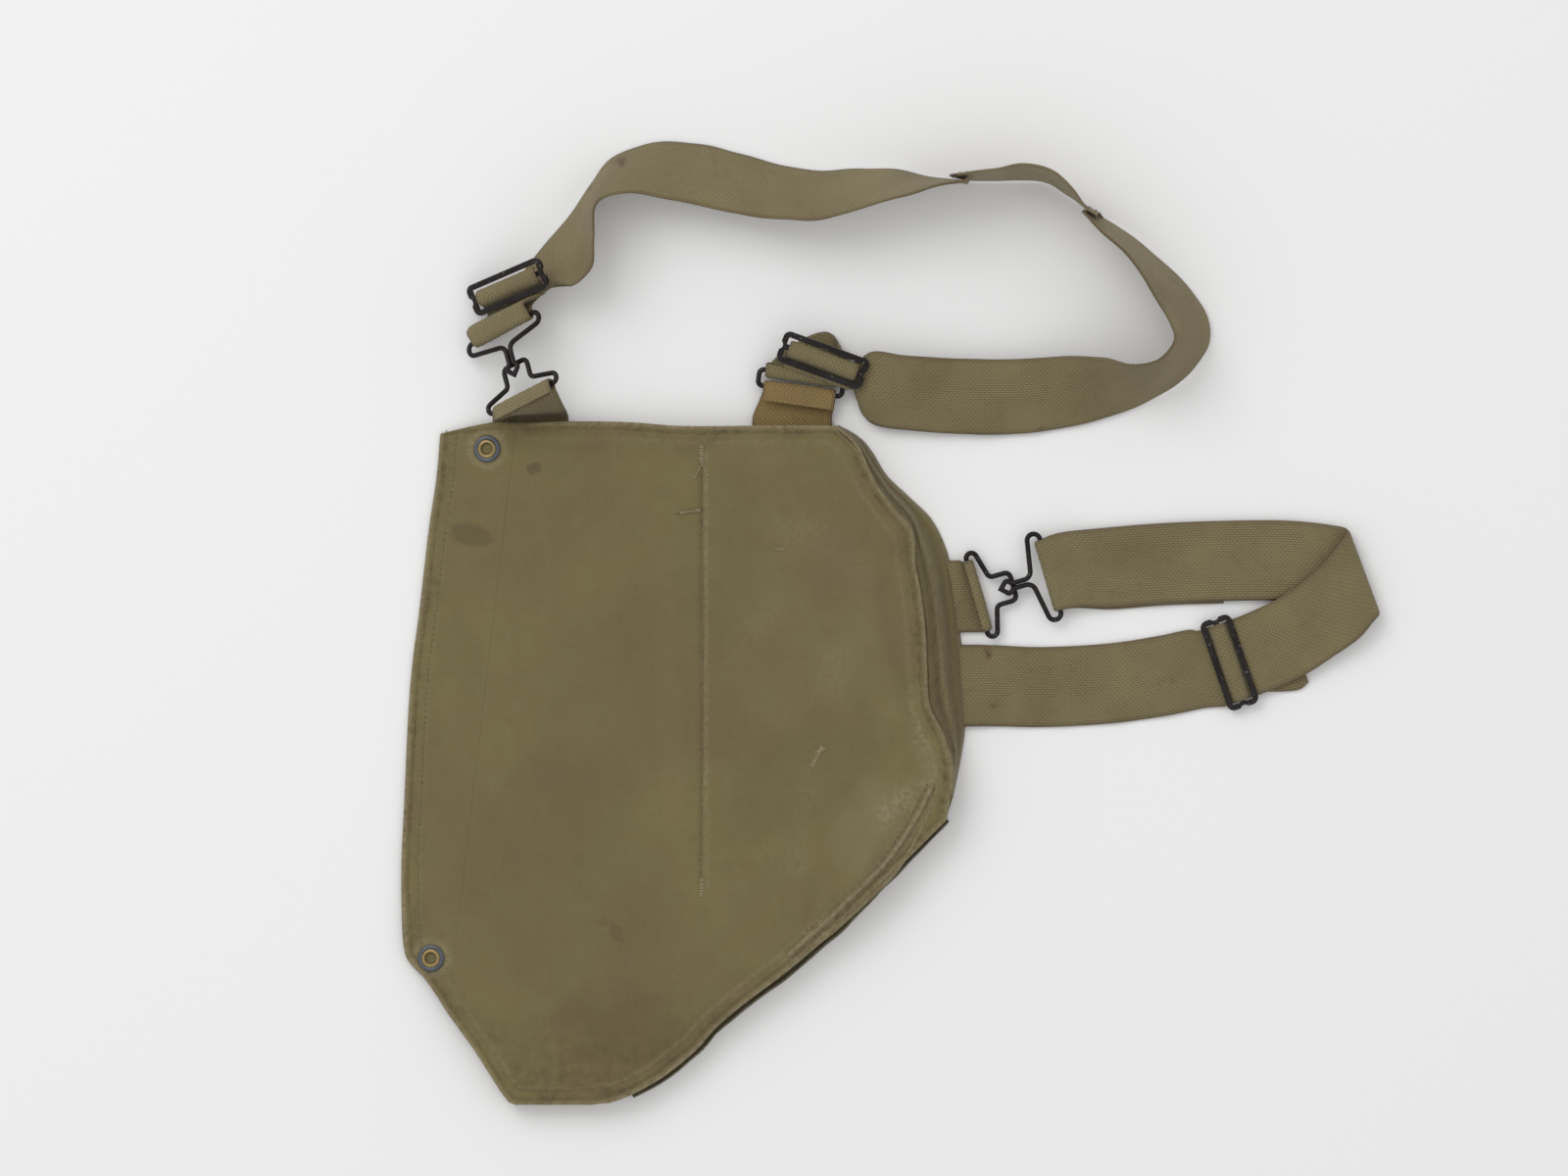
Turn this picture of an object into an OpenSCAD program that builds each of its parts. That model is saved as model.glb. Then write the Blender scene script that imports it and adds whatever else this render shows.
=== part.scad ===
// Side-opening canvas carrier, lying flat and empty, with a shoulder strap and a waist strap.
// +Z is up, z = 0 is the surface it lies on, +Y points to the edge that carries the shoulder strap.

/* [Bag] */
// Thickness of the canvas panels
canvas_t = 1.4; // [0.8:0.1:2.2]
// Height of the open mouth above its facing
mouth_gap = 4.6; // [4.2:0.1:8]
// Tilt of the front panel, rising from the mouth to the gusset
front_tilt = 2; // [1:0.1:3]
// Place of the top seam
top_y = 188; // [184:0.5:189]
// Depth of the bag from the origin to its bottom seam
bottom_depth = 189; // [180:1:215]
// Depth of the reinforced mouth facing
facing_w = 42; // [41.5:0.5:60]
// Length of the compartment divider
divider_len = 240; // [120:1:250]

/* [Snaps] */
// Diameter of the dark flange discs
snap_d = 15; // [12:0.5:18]
// Diameter of the studs
stud_d = 5; // [3.6:0.1:5.4]
// Play between a stud and its eyelet, all round
stud_play = 0.8; // [0.7:0.05:1.2]

/* [Webbing] */
// Width of the shoulder strap
shoulder_w = 42.5; // [38:0.5:44]
// Width of the waist strap
waist_w = 44.5; // [40:0.5:46]
// Thickness of the webbing
web_t = 1.7; // [1.2:0.1:2.2]

/* [Hardware] */
// Diameter of the hook and ring wire
wire_d = 2.8; // [2.2:0.1:3.2]
// Length of the straight bar of a hook
hook_bar = 42; // [41:0.5:46]
// Width of the webbing where it holds a hook
hook_web_w = 40.5; // [36:0.5:40.8]
// Width of a slide's bars
slide_bar = 3.2; // [2.4:0.1:3.4]
// Length of a slide along the strap
slide_len = 18; // [17:0.5:24]
// Play between a slide's ends and the webbing, on each side
slide_play = 0.6; // [0.3:0.1:1]

/* [Hidden] */
$fn = 48;

// Seats and running gaps
touch = 0.02;            // between sewn pieces of one body
gap = 0.3;               // between pieces that move
far = 600;

// The mouth: a slanted line that the flap hinges on
mouth_top = [-88, 189];
mouth_end = [-127, -143];
mouth_len = norm(mouth_end - mouth_top);
mouth_turn = atan2(mouth_top[0] - mouth_end[0], -(mouth_top[1] - mouth_end[1])) + 180;
mouth_x = [cos(mouth_turn), sin(mouth_turn)];
mouth_y = [-sin(mouth_turn), cos(mouth_turn)];
function from_mouth(p) = [(p - mouth_top) * mouth_x, (p - mouth_top) * mouth_y];

// Heights through the mouth, from the surface up
flap_low = 1.3;                                  // the wrapped flap's underside
facing_z = flap_low + canvas_t + gap;            // underside of the facing
front_z = facing_z + canvas_t + mouth_gap;       // underside of the front panel at the mouth
fold_z = front_z + canvas_t / 2;                 // hinge line of the mouth fold
fold_w = fold_z - flap_low - canvas_t / 2;       // from there to the flap's own hinge line
flap_reach = 47;                                 // from the mouth fold to the flap's edge
flap_slope = asin((fold_z - canvas_t / 2 - 0.25) / flap_reach);
function front_under(p) = front_z + tan(front_tilt) * from_mouth(p)[0];

// Outlines of the flat bag, counter-clockwise from the mouth's top
flap_edge = [[-107, top_y], [-134.7, 185], [-136.8, 158], [-141, 129], [-146, 86], [-151, 46],
             [-154.5, -20], [-156.2, -67], [-153.7, -107], [-150, -112.5], [-143.5, -119],
             [-135, -131]];
lower_edge = [[-132, -136], [-127, -143], [-116, -158], [-100.5, -182.4], [-96, -bottom_depth + 1],
              [-91, -bottom_depth], [-62, -bottom_depth], [-41, -bottom_depth + 1.5], [-29, -183],
              [-12, -173.5], [7, -158], [17, -146.5], [31.5, -134], [56.5, -115], [85, -90.5],
              [104, -71.5], [123, -53], [145, -31]];
fold_edge = [[147, -18], [148, -2], [143, 15], [135, 32], [133.5, 53], [132.5, 75], [130, 94.5],
             [127, 111], [125.5, 128], [115, 141], [105, 155], [95, 176], [84, top_y - 2]];
back_edge = [[149, -18], [153, 2], [155.4, 20], [155, 42], [153.4, 64], [149.6, 97], [144.6, 119],
             [136.5, 135], [125, 146.5], [112, 159], [104, 172], [97, 180], [86, top_y - 1.4]];
top_edge = [[44, top_y - 2], [-4, top_y - 2], [-30, top_y], [-84, top_y]];
front_outline = concat(flap_edge, lower_edge, fold_edge, top_edge);
back_outline = concat(flap_edge, lower_edge, back_edge, top_edge);

// Snap places in the mouth's own frame, with x towards the compartment
snap_places = [[-19.3, -17.7], [-17.2, -301.2]];
function stud_at(p) = [-p[0] - fold_w, p[1], 0];   // where the wrapped flap brings each snap
eyelet_d = stud_d + 2 * stud_play;
eyelet_outer = eyelet_d + 1.6;
flap_hole_d = eyelet_outer + 0.1;

// Webbing frames: place, heading, pitch and roll
left_hooks = [[-93, 219.5, 21.5], 105, -20, -30];
left_slide_at = [[-97, 263, 17.5], 112, 0, -28];
right_ring_at = [[64, 205.8, 5.1], 82, 0, 0];
right_slide_at = [[77, 222.5, 14.5], 70, 12, 0];
waist_hooks = [[181.4, 97.7, 3.9], 16, 0, 0];
waist_slide_at = [[302, 55.4, 4.4], 19, 6, 0];
hook_back = 20;                  // eye hook's bar behind the crossing
arrow_back = 22.3;               // arrow hook's bar beyond the crossing
hook_lift = wire_d + gap;        // arrow hook's plane above the eye hook's
loop_r = wire_d / 2 + gap + 0.15 + web_t / 2;

// Lift lines of the two strap groups
shoulder_axis_y = 191.2;
waist_axis = [[150.4, 113], [157.5, 20]];
anchor_t = 2.6;

// Shoulder strap routes: grounded edge x, y, azimuth across the strap, tilt across the strap
left_route = [[-94, 266, -4, 37], [-77, 287, -26, 45], [-61, 306, -56, 60], [-51, 321, -82, 68],
              [-41, 334, -94, 58], [-23, 342, -103, 47], [-6, 344, -103, 39], [12, 342, -92, 34],
              [32, 337, -86, 34], [54, 331, -88, 42], [74, 328, -86, 47], [98, 329, -86, 57],
              [120, 328, -80, 68], [139, 323.5, -72, 82], [157, 321, -74, 90]];
splice_route = [[150, 324.6, -74, 89], [157, 323.4, -75, 92], [172, 322.6, -80, 96],
                [186, 323, -84, 99], [202, 321, -98, 97], [213, 314.6, -112, 92],
                [222.2, 308.1, -123, 87], [229.8, 304.4, -127, 85]];
right_route = [[221, 306, -124, 86], [236, 299, -130, 78], [252, 288, -134, 74],
               [268, 275, -140, 66], [282, 260, -150, 60], [290, 246, -166, 58],
               [291, 232, 170, 60], [284, 220, 148, 64], [272, 209, 132, 66], [257, 200, 118, 58],
               [240, 193, 104, 42], [214, 186, 94, 24], [184, 182, 90, 14], [152, 182, 90, 12],
               [124, 184, 92, 14], [109, 186, 97, 12]];
right_lift = [1, 1, 1, 1, 1, 1, 1, 1, 1, 1, 1, 1, 1.5, 3, 4.5, 5];

// Waist strap route: upper edge and lower edge
waist_route = [
    [[155.2, 65.3, 2.3], [158.4, 20, 2.3]], [[172, 65, 1.4], [176, 20, 1.4]],
    [[197, 64, 1.1], [198, 19.6, 1.1]], [[235, 66, 1.1], [236, 21.6, 1.1]],
    [[262, 70, 1.1], [268, 26, 1.1]], [[280, 73.6, 1.1], [290.5, 30.4, 1.1]]];
waist_rise = [
    [[318, 85.5, 4.6], [333, 43.5, 4.2]], [[330, 91.5, 6.4], [347, 50.5, 5.2]],
    [[342, 100, 7.6], [359, 58.5, 6.8]], [[355, 112, 9], [373.5, 68.8, 8.6]],
    [[364, 123.5, 9.6], [381, 77.5, 9.4]], [[366.4, 127, 8.8], [383.6, 80.6, 8.6]],
    [[367.4, 128.7, 6.4], [384.6, 81.8, 6.2]], [[366, 130, 3.8], [382.6, 83.4, 3.6]],
    [[359, 131.5, 3], [372, 87, 3]], [[336, 134, 3], [338, 89.6, 3]],
    [[300, 134, 3], [301, 89.5, 3]], [[264, 132.6, 3], [267, 88.2, 3]],
    [[232, 130, 3.4], [237, 86.2, 3.4]]];
waist_under = [
    [[232, 128.6, 1.2], [236.5, 84.8, 1.2]], [[262, 131.4, 1.1], [265.6, 87, 1.1]],
    [[298, 132.6, 1.1], [299, 88.2, 1.1]]];

// ---- shared functions ----

function unit(v) = v / norm(v);
function clamp(i, n) = max(0, min(n - 1, i));
function spline(a, b, c, d, t) =
    0.5 * (2 * b + (c - a) * t + (2 * a - 5 * b + 4 * c - d) * t * t
           + (3 * b - a - 3 * c + d) * t * t * t);
// Points on a smooth line through a list, steps per stretch
function smooth(list, steps) = let (n = len(list))
    [for (i = [0 : n - 2], k = [0 : steps - 1])
        spline(list[clamp(i - 1, n)], list[i], list[i + 1], list[clamp(i + 2, n)], k / steps),
     list[n - 1]];

// The two edges of a strap that stands on one edge: place, azimuth, tilt, width, lift
function standing(s, w, lift = 1) = let (low = [s[0], s[1], lift + web_t / 2 * abs(cos(s[3]))])
    [low, low + w * [cos(s[2]) * cos(s[3]), sin(s[2]) * cos(s[3]), sin(s[3])]];

// Axes of a webbing frame: along, left and up
function along(f) = [cos(f[2]) * cos(f[1]), cos(f[2]) * sin(f[1]), sin(f[2])];
function left(f) = let (side = [-sin(f[1]), cos(f[1]), 0])
    cos(f[3]) * side + sin(f[3]) * cross(along(f), side);
function above(f) = cross(along(f), left(f));
// Left and right edges of webbing of width w, at u along the frame and z above it
function across(f, u, z, w) = let (p = f[0] + u * along(f) + z * above(f))
    [p + left(f) * w / 2, p - left(f) * w / 2];
// Webbing turned half round a bar at u, from above to below (side = 1) on the +u side
function wrap(f, u, w, r = loop_r, facing = 1, side = 1) =
    [for (a = [0 : 30 : 180]) across(f, u + facing * r * sin(a), side * r * cos(a), w)];

module place(f) { translate(f[0]) rotate([0, 0, f[1]]) rotate([0, -f[2], 0]) rotate([f[3], 0, 0]) children(); }

// A strip of cloth or webbing through a list of edge pairs
module strip(pairs, t) {
    n = len(pairs);
    mid = [for (p = pairs) (p[0] + p[1]) / 2];
    up = [for (i = [0 : n - 1])
        unit(cross(mid[clamp(i + 1, n)] - mid[clamp(i - 1, n)], pairs[i][0] - pairs[i][1])) * t / 2];
    points = [for (i = [0 : n - 1]) each [pairs[i][0] + up[i], pairs[i][1] + up[i],
                                          pairs[i][1] - up[i], pairs[i][0] - up[i]]];
    sides = [for (i = [0 : n - 2], k = [0 : 3]) let (m = (k + 1) % 4)
        each [[4*i + k, 4*i + 4 + k, 4*i + 4 + m], [4*i + k, 4*i + 4 + m, 4*i + m]]];
    polyhedron(points, concat([[0, 1, 2], [0, 2, 3]], sides,
                              [[4*n - 1, 4*n - 2, 4*n - 3], [4*n - 1, 4*n - 3, 4*n - 4]]));
}

// Points of a path from [x, y] along steps of [straight run, bend radius, bend angle]; + bends left
function walk(steps, i = 0, p = [0, 0], h = 90) = i == len(steps) ? [] : let (
        q = p + steps[i][0] * [cos(h), sin(h)],
        turn = steps[i][2],
        r = steps[i][1] * sign(turn),
        c = q + r * [-sin(h), cos(h)],
        n = ceil(abs(turn) / 15),
        bend = [for (k = [1 : 1 : n]) c + r * [sin(h + turn * k / n), -cos(h + turn * k / n)]])
    concat([q], bend, walk(steps, i + 1, n == 0 ? q : bend[n - 1], h + turn));

function total(list, i = 0) = i == len(list) ? 0 : list[i] + total(list, i + 1);

// Closed loop of round wire: one half along the steps from the middle of its bar, run on straight
// to the middle line, and its mirror
wire_sides = 12;
module wire(steps) {
    walked = walk(steps);
    end = walked[len(walked) - 1];
    heading = 90 + total([for (s = steps) s[2]]);
    half = concat([[0, 0]], walked, [[end[0] - end[1] / tan(heading), 0]]);
    path = concat(half, [for (i = [len(half) - 2 : -1 : 1]) [half[i][0], -half[i][1]]]);
    n = len(path);
    points = [for (i = [0 : n - 1]) let (
            before = unit(path[i] - path[(i + n - 1) % n]),
            after = unit(path[(i + 1) % n] - path[i]),
            way = unit(before + after),
            mitre = wire_d / 2 / max(0.5, way * after))
        for (k = [0 : wire_sides - 1]) let (a = 360 * k / wire_sides)
            [path[i][0] - way[1] * mitre * cos(a), path[i][1] + way[0] * mitre * cos(a), wire_d / 2 * sin(a)]];
    faces = [for (i = [0 : n - 1], k = [0 : wire_sides - 1]) let (
            a = i * wire_sides + k,
            b = i * wire_sides + (k + 1) % wire_sides,
            c = ((i + 1) % n) * wire_sides + (k + 1) % wire_sides,
            d = ((i + 1) % n) * wire_sides + k)
        each [[a, b, c], [a, c, d]]];
    polyhedron(points, faces);
}

// ---- bag body ----

module mouth_frame(z = 0) { translate([mouth_top[0], mouth_top[1], z]) rotate(mouth_turn) children(); }
module on_front() { mouth_frame(front_z) rotate([0, -front_tilt, 0]) children(); }
module below_front() { on_front() translate([-far, -far, -far - touch]) cube([2 * far, 2 * far, far]); }

module back_panel() {
    color("darkolivegreen") linear_extrude(canvas_t) difference() {
        polygon(back_outline);
        translate(mouth_top) rotate(mouth_turn) translate([-far, -mouth_len + 1]) square([far + facing_w + 2, far]);
    }
}

module front_panel() {
    color("olivedrab") intersection() {
        on_front() translate([canvas_t / 2 + gap, -far, 0]) cube([far, 2 * far, canvas_t]);
        linear_extrude(far) polygon(front_outline);
    }
}

// Upright wall between the panels along an edge, set in by its own half thickness
function wall(low, high, inset) = [for (i = [0 : len(low) - 1]) let (
        n = len(low),
        d = unit(low[clamp(i + 1, n)] - low[clamp(i - 1, n)]),
        inward = [-d[1], d[0]] * inset,
        a = low[i] + inward,
        b = high[i] + inward)
    [[b[0], b[1], front_under(b) - 2 * touch], [a[0], a[1], canvas_t + 2 * touch]]];

module side_gusset() {
    color("olivedrab") intersection() {
        strip(wall(back_edge, fold_edge, canvas_t), canvas_t);
        below_front();
        translate([-far, -far, canvas_t + touch]) cube(2 * far);
    }
}

module top_seam() {
    edge = concat([[82, top_y - 2]], top_edge);
    color("olivedrab") intersection() {
        strip(wall(edge, edge, canvas_t), canvas_t);
        below_front();
    }
}

module bottom_seam() {
    edge = [for (i = [2 : len(lower_edge) - 1]) lower_edge[i]];
    color("olivedrab") intersection() {
        strip(wall(edge, edge, canvas_t), canvas_t);
        below_front();
    }
}

binding_w = 2.4;
module edge_binding() {
    edge = [for (i = [12 : len(lower_edge) - 1]) lower_edge[i]];
    n = len(edge);
    function outward(i) = let (d = unit(edge[clamp(i + 1, n)] - edge[clamp(i - 1, n)])) [d[1], -d[0]];
    color("saddlebrown") strip([for (i = [0 : n - 1]) let (a = edge[i] + outward(i) * 0.1,
        b = edge[i] + outward(i) * binding_w) [[a[0], a[1], 1], [b[0], b[1], 1]]], 1.4);
}

// Piped ridge of the folded corner, on the front panel
dog_ear_route = [[138, -12], [128, -32], [112, -56], [98, -70], [78, -90], [58, -108]];
module dog_ear_seam() {
    color("olivedrab") strip([for (p = dog_ear_route) let (z = front_under(p) + canvas_t + 1.1)
        [[p[0] - 1.6, p[1] + 1.2, z], [p[0] + 1.6, p[1] - 1.2, z]]], 1.8);
}

divider_x = 10;
divider_top = 172;
module compartment_divider() {
    color("darkkhaki") intersection() {
        translate([divider_x - canvas_t / 2, divider_top - divider_len, canvas_t + touch])
            cube([canvas_t, divider_len, far]);
        below_front();
    }
}

tack_len = 9;
tack_t = 0.6;
module bar_tacks() {
    places = [[divider_x, divider_top, 90], [divider_x, divider_top - divider_len, 90], [74, 4, 30],
              [53, 116, 0], [4, 139, 8]];
    color("darkkhaki") for (p = places) on_front() let (q = from_mouth([p[0], p[1]]))
        translate([q[0], q[1], canvas_t + touch]) rotate(p[2] - mouth_turn)
            translate([-tack_len / 2, -1, 0]) cube([tack_len, 2, tack_t]);
}

facing_step = 3;
facing_seat = 8;
module mouth_facing() {
    top = facing_z + canvas_t;
    seat = canvas_t + touch;
    near = canvas_t / 2 + gap + 0.1;
    bend = facing_w + 1;
    foot = bend + facing_step;
    lap = 0.6;
    profile = [[near, facing_z], [bend, facing_z], [foot, seat], [foot + facing_seat, seat],
               [foot + facing_seat, seat + canvas_t], [foot + lap, seat + canvas_t],
               [bend + lap, top], [near, top]];
    color("darkolivegreen") mouth_frame() difference() {
        translate([0, -3, 0]) rotate([90, 0, 0]) linear_extrude(mouth_len - 7) polygon(profile);
        for (p = snap_places) translate(stud_at(p)) cylinder(h = 20, d = stud_post_d + 0.1);
    }
}

stud_post_d = stud_d - 1.7;
stud_end = 0.4;                       // the stud's lowest point above the surface
module snap_studs() {
    color("dimgray") mouth_frame() for (p = snap_places) translate(stud_at(p)) {
        translate([0, 0, stud_end]) cylinder(h = facing_z - touch - stud_end, d = stud_d);
        translate([0, 0, stud_end]) cylinder(h = facing_z + canvas_t + 0.5 - stud_end, d = stud_post_d);
    }
}

washer_t = 0.7;
module stud_washers() {
    color("dimgray") mouth_frame(facing_z + canvas_t + touch) for (p = snap_places)
        translate(stud_at(p)) difference() {
            cylinder(h = washer_t, d = 2 * stud_d);
            translate([0, 0, -1]) cylinder(h = washer_t + 2, d = stud_post_d + 0.05);
        }
}

module anchor(x0, x1, y0) {
    translate([x0, y0 + touch, canvas_t]) cube([x1 - x0, shoulder_axis_y - gap - y0, anchor_t]);
}
left_tab_x = [-106, -64];
right_tab_x = [38, 82];
module left_anchor() { color("darkkhaki") anchor(left_tab_x[0], left_tab_x[1], top_y); }
module right_anchor() { color("tan") anchor(right_tab_x[0], right_tab_x[1], top_y - 1.9); }

// Stubs under the gusset's edge: the waist tab's and the waist strap's
function waist_line(y) = waist_axis[0]
    + (waist_axis[1] - waist_axis[0]) * (waist_axis[0][1] - y) / (waist_axis[0][1] - waist_axis[1][1]);
waist_spans = [[112.4, 67.6], [65.3, 20.4]];
module waist_anchors() {
    stub_z = 0.9;
    stub_t = 1.5;
    color("darkkhaki") for (span = waist_spans) translate([0, 0, stub_z])
        linear_extrude(stub_t) difference() {
            polygon([waist_line(span[0]) - [gap, 0], waist_line(span[0]) - [16, 0],
                     waist_line(span[1]) - [16, 0], waist_line(span[1]) - [gap, 0]]);
            translate([touch, 0]) polygon(back_outline);
        }
}

// ---- mouth fold and flap ----

flap_inset = 3.4;                // below the top seam, which the wrapped flap passes
// Sheet outline between two distances from the mouth line, in the plane of the flap
module margin(from, to) {
    intersection() {
        polygon([for (p = front_outline) let (q = from_mouth(p)) [q[0] / cos(flap_slope), q[1]]]);
        translate([-to, -far]) square([to - from, far - flap_inset]);
    }
}
module flap_frame() { mouth_frame(fold_z) rotate([0, -flap_slope, 0]) translate([0, 0, -canvas_t / 2]) children(); }
// Piped edge on a hinge line, a distance from the mouth line
module piping(distance, from, to) {
    translate([-distance, -to, canvas_t / 2]) rotate([-90, 0, 0]) cylinder(h = to - from, d = canvas_t);
}
piping_top = 4;
module mouth_fold() {
    color("olivedrab") flap_frame() {
        linear_extrude(canvas_t) margin(0, fold_w - canvas_t / 2 - gap);
        piping(0, piping_top, mouth_len - 3);
    }
}
module flap_panel() {
    color("olivedrab") flap_frame() difference() {
        union() {
            linear_extrude(canvas_t) margin(fold_w, far);
            piping(fold_w, piping_top, mouth_len - 14);
        }
        for (p = snap_places) translate([p[0], p[1], -1]) cylinder(h = 5, d = flap_hole_d);
    }
}

hem_w = 3;
hem_t = 0.5;
module flap_hem() {
    color("olivedrab") flap_frame() translate([0, 0, canvas_t + touch]) linear_extrude(hem_t) difference() {
        margin(fold_w + 4, far);
        translate([hem_w, 0]) margin(fold_w, far);
        translate([-far, -far]) square([2 * far, far - 270]);
        translate([-far, -40]) square([2 * far, far]);
    }
}

disc_t = 0.8;
disc_ring = 0.5;                      // the raised middle of a disc
eyelet_lip = 0.9;
eyelet_under = 0.2;
module snap_discs() {
    color("slategray") flap_frame() for (p = snap_places) translate([p[0], p[1], canvas_t + touch]) {
        difference() {
            union() {
                cylinder(h = disc_t, d = snap_d);
                cylinder(h = disc_t + disc_ring, d = 0.58 * snap_d);
            }
            translate([0, 0, -1]) cylinder(h = 4, d = flap_hole_d);
        }
    }
}
module snap_eyelets() {
    color("darkgoldenrod") flap_frame() for (p = snap_places) translate([p[0], p[1], -eyelet_under]) difference() {
        cylinder(h = canvas_t + disc_t + eyelet_lip, d = eyelet_outer);
        translate([0, 0, -1]) cylinder(h = 6, d = eyelet_d);
    }
}

// ---- hooks, slides and ring ----

// Eye hook: bar in the webbing at -hook_back, shoulders, neck and a closed eye at the crossing
module eye_hook() {
    slant = 11.9 + (hook_bar - 42) / 2;
    color("dimgray") translate([-hook_back, 0, 0])
        wire([[hook_bar / 2, 2.9, -165], [slant, 3, 75], [6.2, 3, -90]]);
}

// Arrow hook: bar at +arrow_back, shoulders, a doubled neck and an arrow-shaped tongue
module arrow_hook() {
    slant = 16.6 + (hook_bar - 42) / 2;
    color("dimgray") translate([arrow_back, 0, 0]) mirror([1, 0, 0])
        wire([[hook_bar / 2, 3.6, -170], [slant, 4.6, 80], [6.4, 2, 40], [1.6, 1.6, -85]]);
}

// Slide: flat frame of three bars with notched ends, the webbing passing through the two windows
slide_t = 1.8;
slide_end = 3.25;                // width of a slide's end bars
module slide(w) {
    inner = w + 2 * slide_play;
    outer = inner + 2 * slide_end;
    corner = 4;
    window = (slide_len - 3 * slide_bar) / 2;
    notch_r = 2.8;
    color("dimgray") translate([0, 0, -slide_t / 2]) linear_extrude(slide_t) difference() {
        union() {
            for (x = [-1, 1], y = [-1, 1])
                translate([x * (slide_len / 2 - corner), y * (outer / 2 - corner)]) circle(r = corner);
            square([slide_len - 2 * corner, outer], center = true);
            square([slide_len, outer - 2 * corner], center = true);
        }
        for (x = [-1, 1]) translate([x * (slide_bar + window) / 2, 0]) square([window, inner], center = true);
        for (y = [-1, 1]) translate([0, y * (outer / 2 + notch_r / 2)]) circle(r = notch_r);
    }
}

// Webbing through a slide: under its first bar, up a window and over its middle bar
slide_over = slide_t / 2 + web_t / 2 + 0.2;
window_at = (slide_len - slide_bar) / 4;
weave_run = 1.5;
function weave(f, w) = [across(f, -slide_len / 2 - 1.5, -slide_over, w),
    across(f, -window_at - weave_run, -slide_over, w), across(f, -window_at + weave_run, slide_over, w),
    across(f, window_at - weave_run, slide_over, w)];
// Its sewn end, turned down into the second window
function weave_end(f, w) = [across(f, window_at + 0.3, -0.2, w)];

ring_depth = 9;
module right_ring() {
    corner = 2.6;
    color("dimgray") place(right_ring_at)
        wire([[hook_bar / 2 - 0.2, corner, -90], [ring_depth - 2 * corner, corner, -90]]);
}

module left_eye_hook() { place(left_hooks) eye_hook(); }
module left_arrow_hook() { place(left_hooks) translate([0, 0, hook_lift]) arrow_hook(); }
module waist_eye_hook() { place(waist_hooks) eye_hook(); }
waist_arrow_at = [waist_hooks[0] + [0, 0, hook_lift], waist_hooks[1], -5, 0];
module waist_arrow_hook() { place(waist_arrow_at) arrow_hook(); }
module left_slide() { place(left_slide_at) slide(shoulder_w); }
module right_slide() { place(right_slide_at) slide(shoulder_w); }
module waist_slide() { place(waist_slide_at) slide(waist_w); }

// ---- shoulder strap ----

tab_root_z = canvas_t + anchor_t / 2;
module left_tab() {
    y0 = shoulder_axis_y + gap;
    root = [[left_tab_x[0], y0, tab_root_z], [left_tab_x[1], y0, tab_root_z]];
    seat = across(left_hooks, -hook_back - 3, -loop_r, hook_web_w);
    rise = [(root[0] + seat[0]) / 2 + [0, 1.5, 0.5], (root[1] + seat[1]) / 2 + [3, 1, 1]];
    color("darkkhaki") strip(concat([root], smooth([[for (p = root) p + [0, 1.6, 0.1]], rise, seat], 4),
        wrap(left_hooks, -hook_back, hook_web_w, side = -1),
        [across(left_hooks, -hook_back - 5.5, loop_r, hook_web_w)]), web_t);
}

arrow_at = [left_hooks[0] + hook_lift * above(left_hooks), left_hooks[1], left_hooks[2], left_hooks[3]];
module left_strap() {
    s = left_slide_at;
    woven = concat(weave(s, hook_web_w), weave_end(s, hook_web_w));
    end_wrap = [for (i = [len(woven) - 1 : -1 : 0]) woven[i]];
    loop_mid = [across(arrow_at, arrow_back + 6, 4.4, hook_web_w)];
    turn = wrap(arrow_at, arrow_back, hook_web_w, facing = -1);
    lower = [across(arrow_at, arrow_back + 6, -3.6, hook_web_w),
             [for (p = across(s, -6, -6.2, shoulder_w)) p + [5, -1, 0]]];
    route = [for (r = left_route) standing(r, shoulder_w)];
    color("darkkhaki") strip(concat(end_wrap, loop_mid, turn, smooth(concat(lower, route), 3)), web_t);
}

module splice_piece() {
    color("khaki") strip(smooth([for (r = splice_route) standing(r, shoulder_w - 1)], 3), web_t);
}
stitch_t = 0.6;
module splice_stitches() {
    color("saddlebrown") for (k = [0, 1]) let (
            r = k == 0 ? splice_route[0] : splice_route[len(splice_route) - 1],
            e = standing(r, shoulder_w),
            d = (k == 0 ? 1 : -1) * [sin(r[2]), -cos(r[2]), 0],
            out = [-cos(r[2]) * sin(r[3]), -sin(r[2]) * sin(r[3]), cos(r[3])] * (web_t + stitch_t + 0.5) / 2)
        strip([for (x = [1, 4]) [e[0] - d * x + out + unit(e[1] - e[0]) * 3,
                                 e[1] - d * x + out - unit(e[1] - e[0]) * 3]], stitch_t);
}

ring_far = [right_ring_at[0] + ring_depth * along(right_ring_at), right_ring_at[1], 0, 0];
module right_strap() {
    s = right_slide_at;
    route = [for (i = [0 : len(right_route) - 1]) standing(right_route[i], shoulder_w, right_lift[i])];
    dive = [[[102, 189, 5], [94, 222, 11.4]], [[98.5, 195, 3.6], [87.5, 228, 8]],
            [[99.5, 203, 2.4], [79.5, 238.5, 3.4]]];
    under = [for (p = across(s, -2, -9, shoulder_w)) [p[0], p[1], 1.3]];
    lower = [under[1], under[0]];
    turn = wrap(ring_far, 0, hook_web_w, r = loop_r + 0.7, facing = -1, side = -1);
    top = concat(weave(s, hook_web_w), weave_end(s, hook_web_w));
    loop_mid = [across(ring_far, 3.5, loop_r + 2, hook_web_w)];
    function flip(list) = [for (p = list) [p[1], p[0]]];
    color("darkkhaki") strip(concat(smooth(concat(route, dive, [lower]), 3), flip(turn), flip(loop_mid),
                                    flip(top)), web_t);
}

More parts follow.
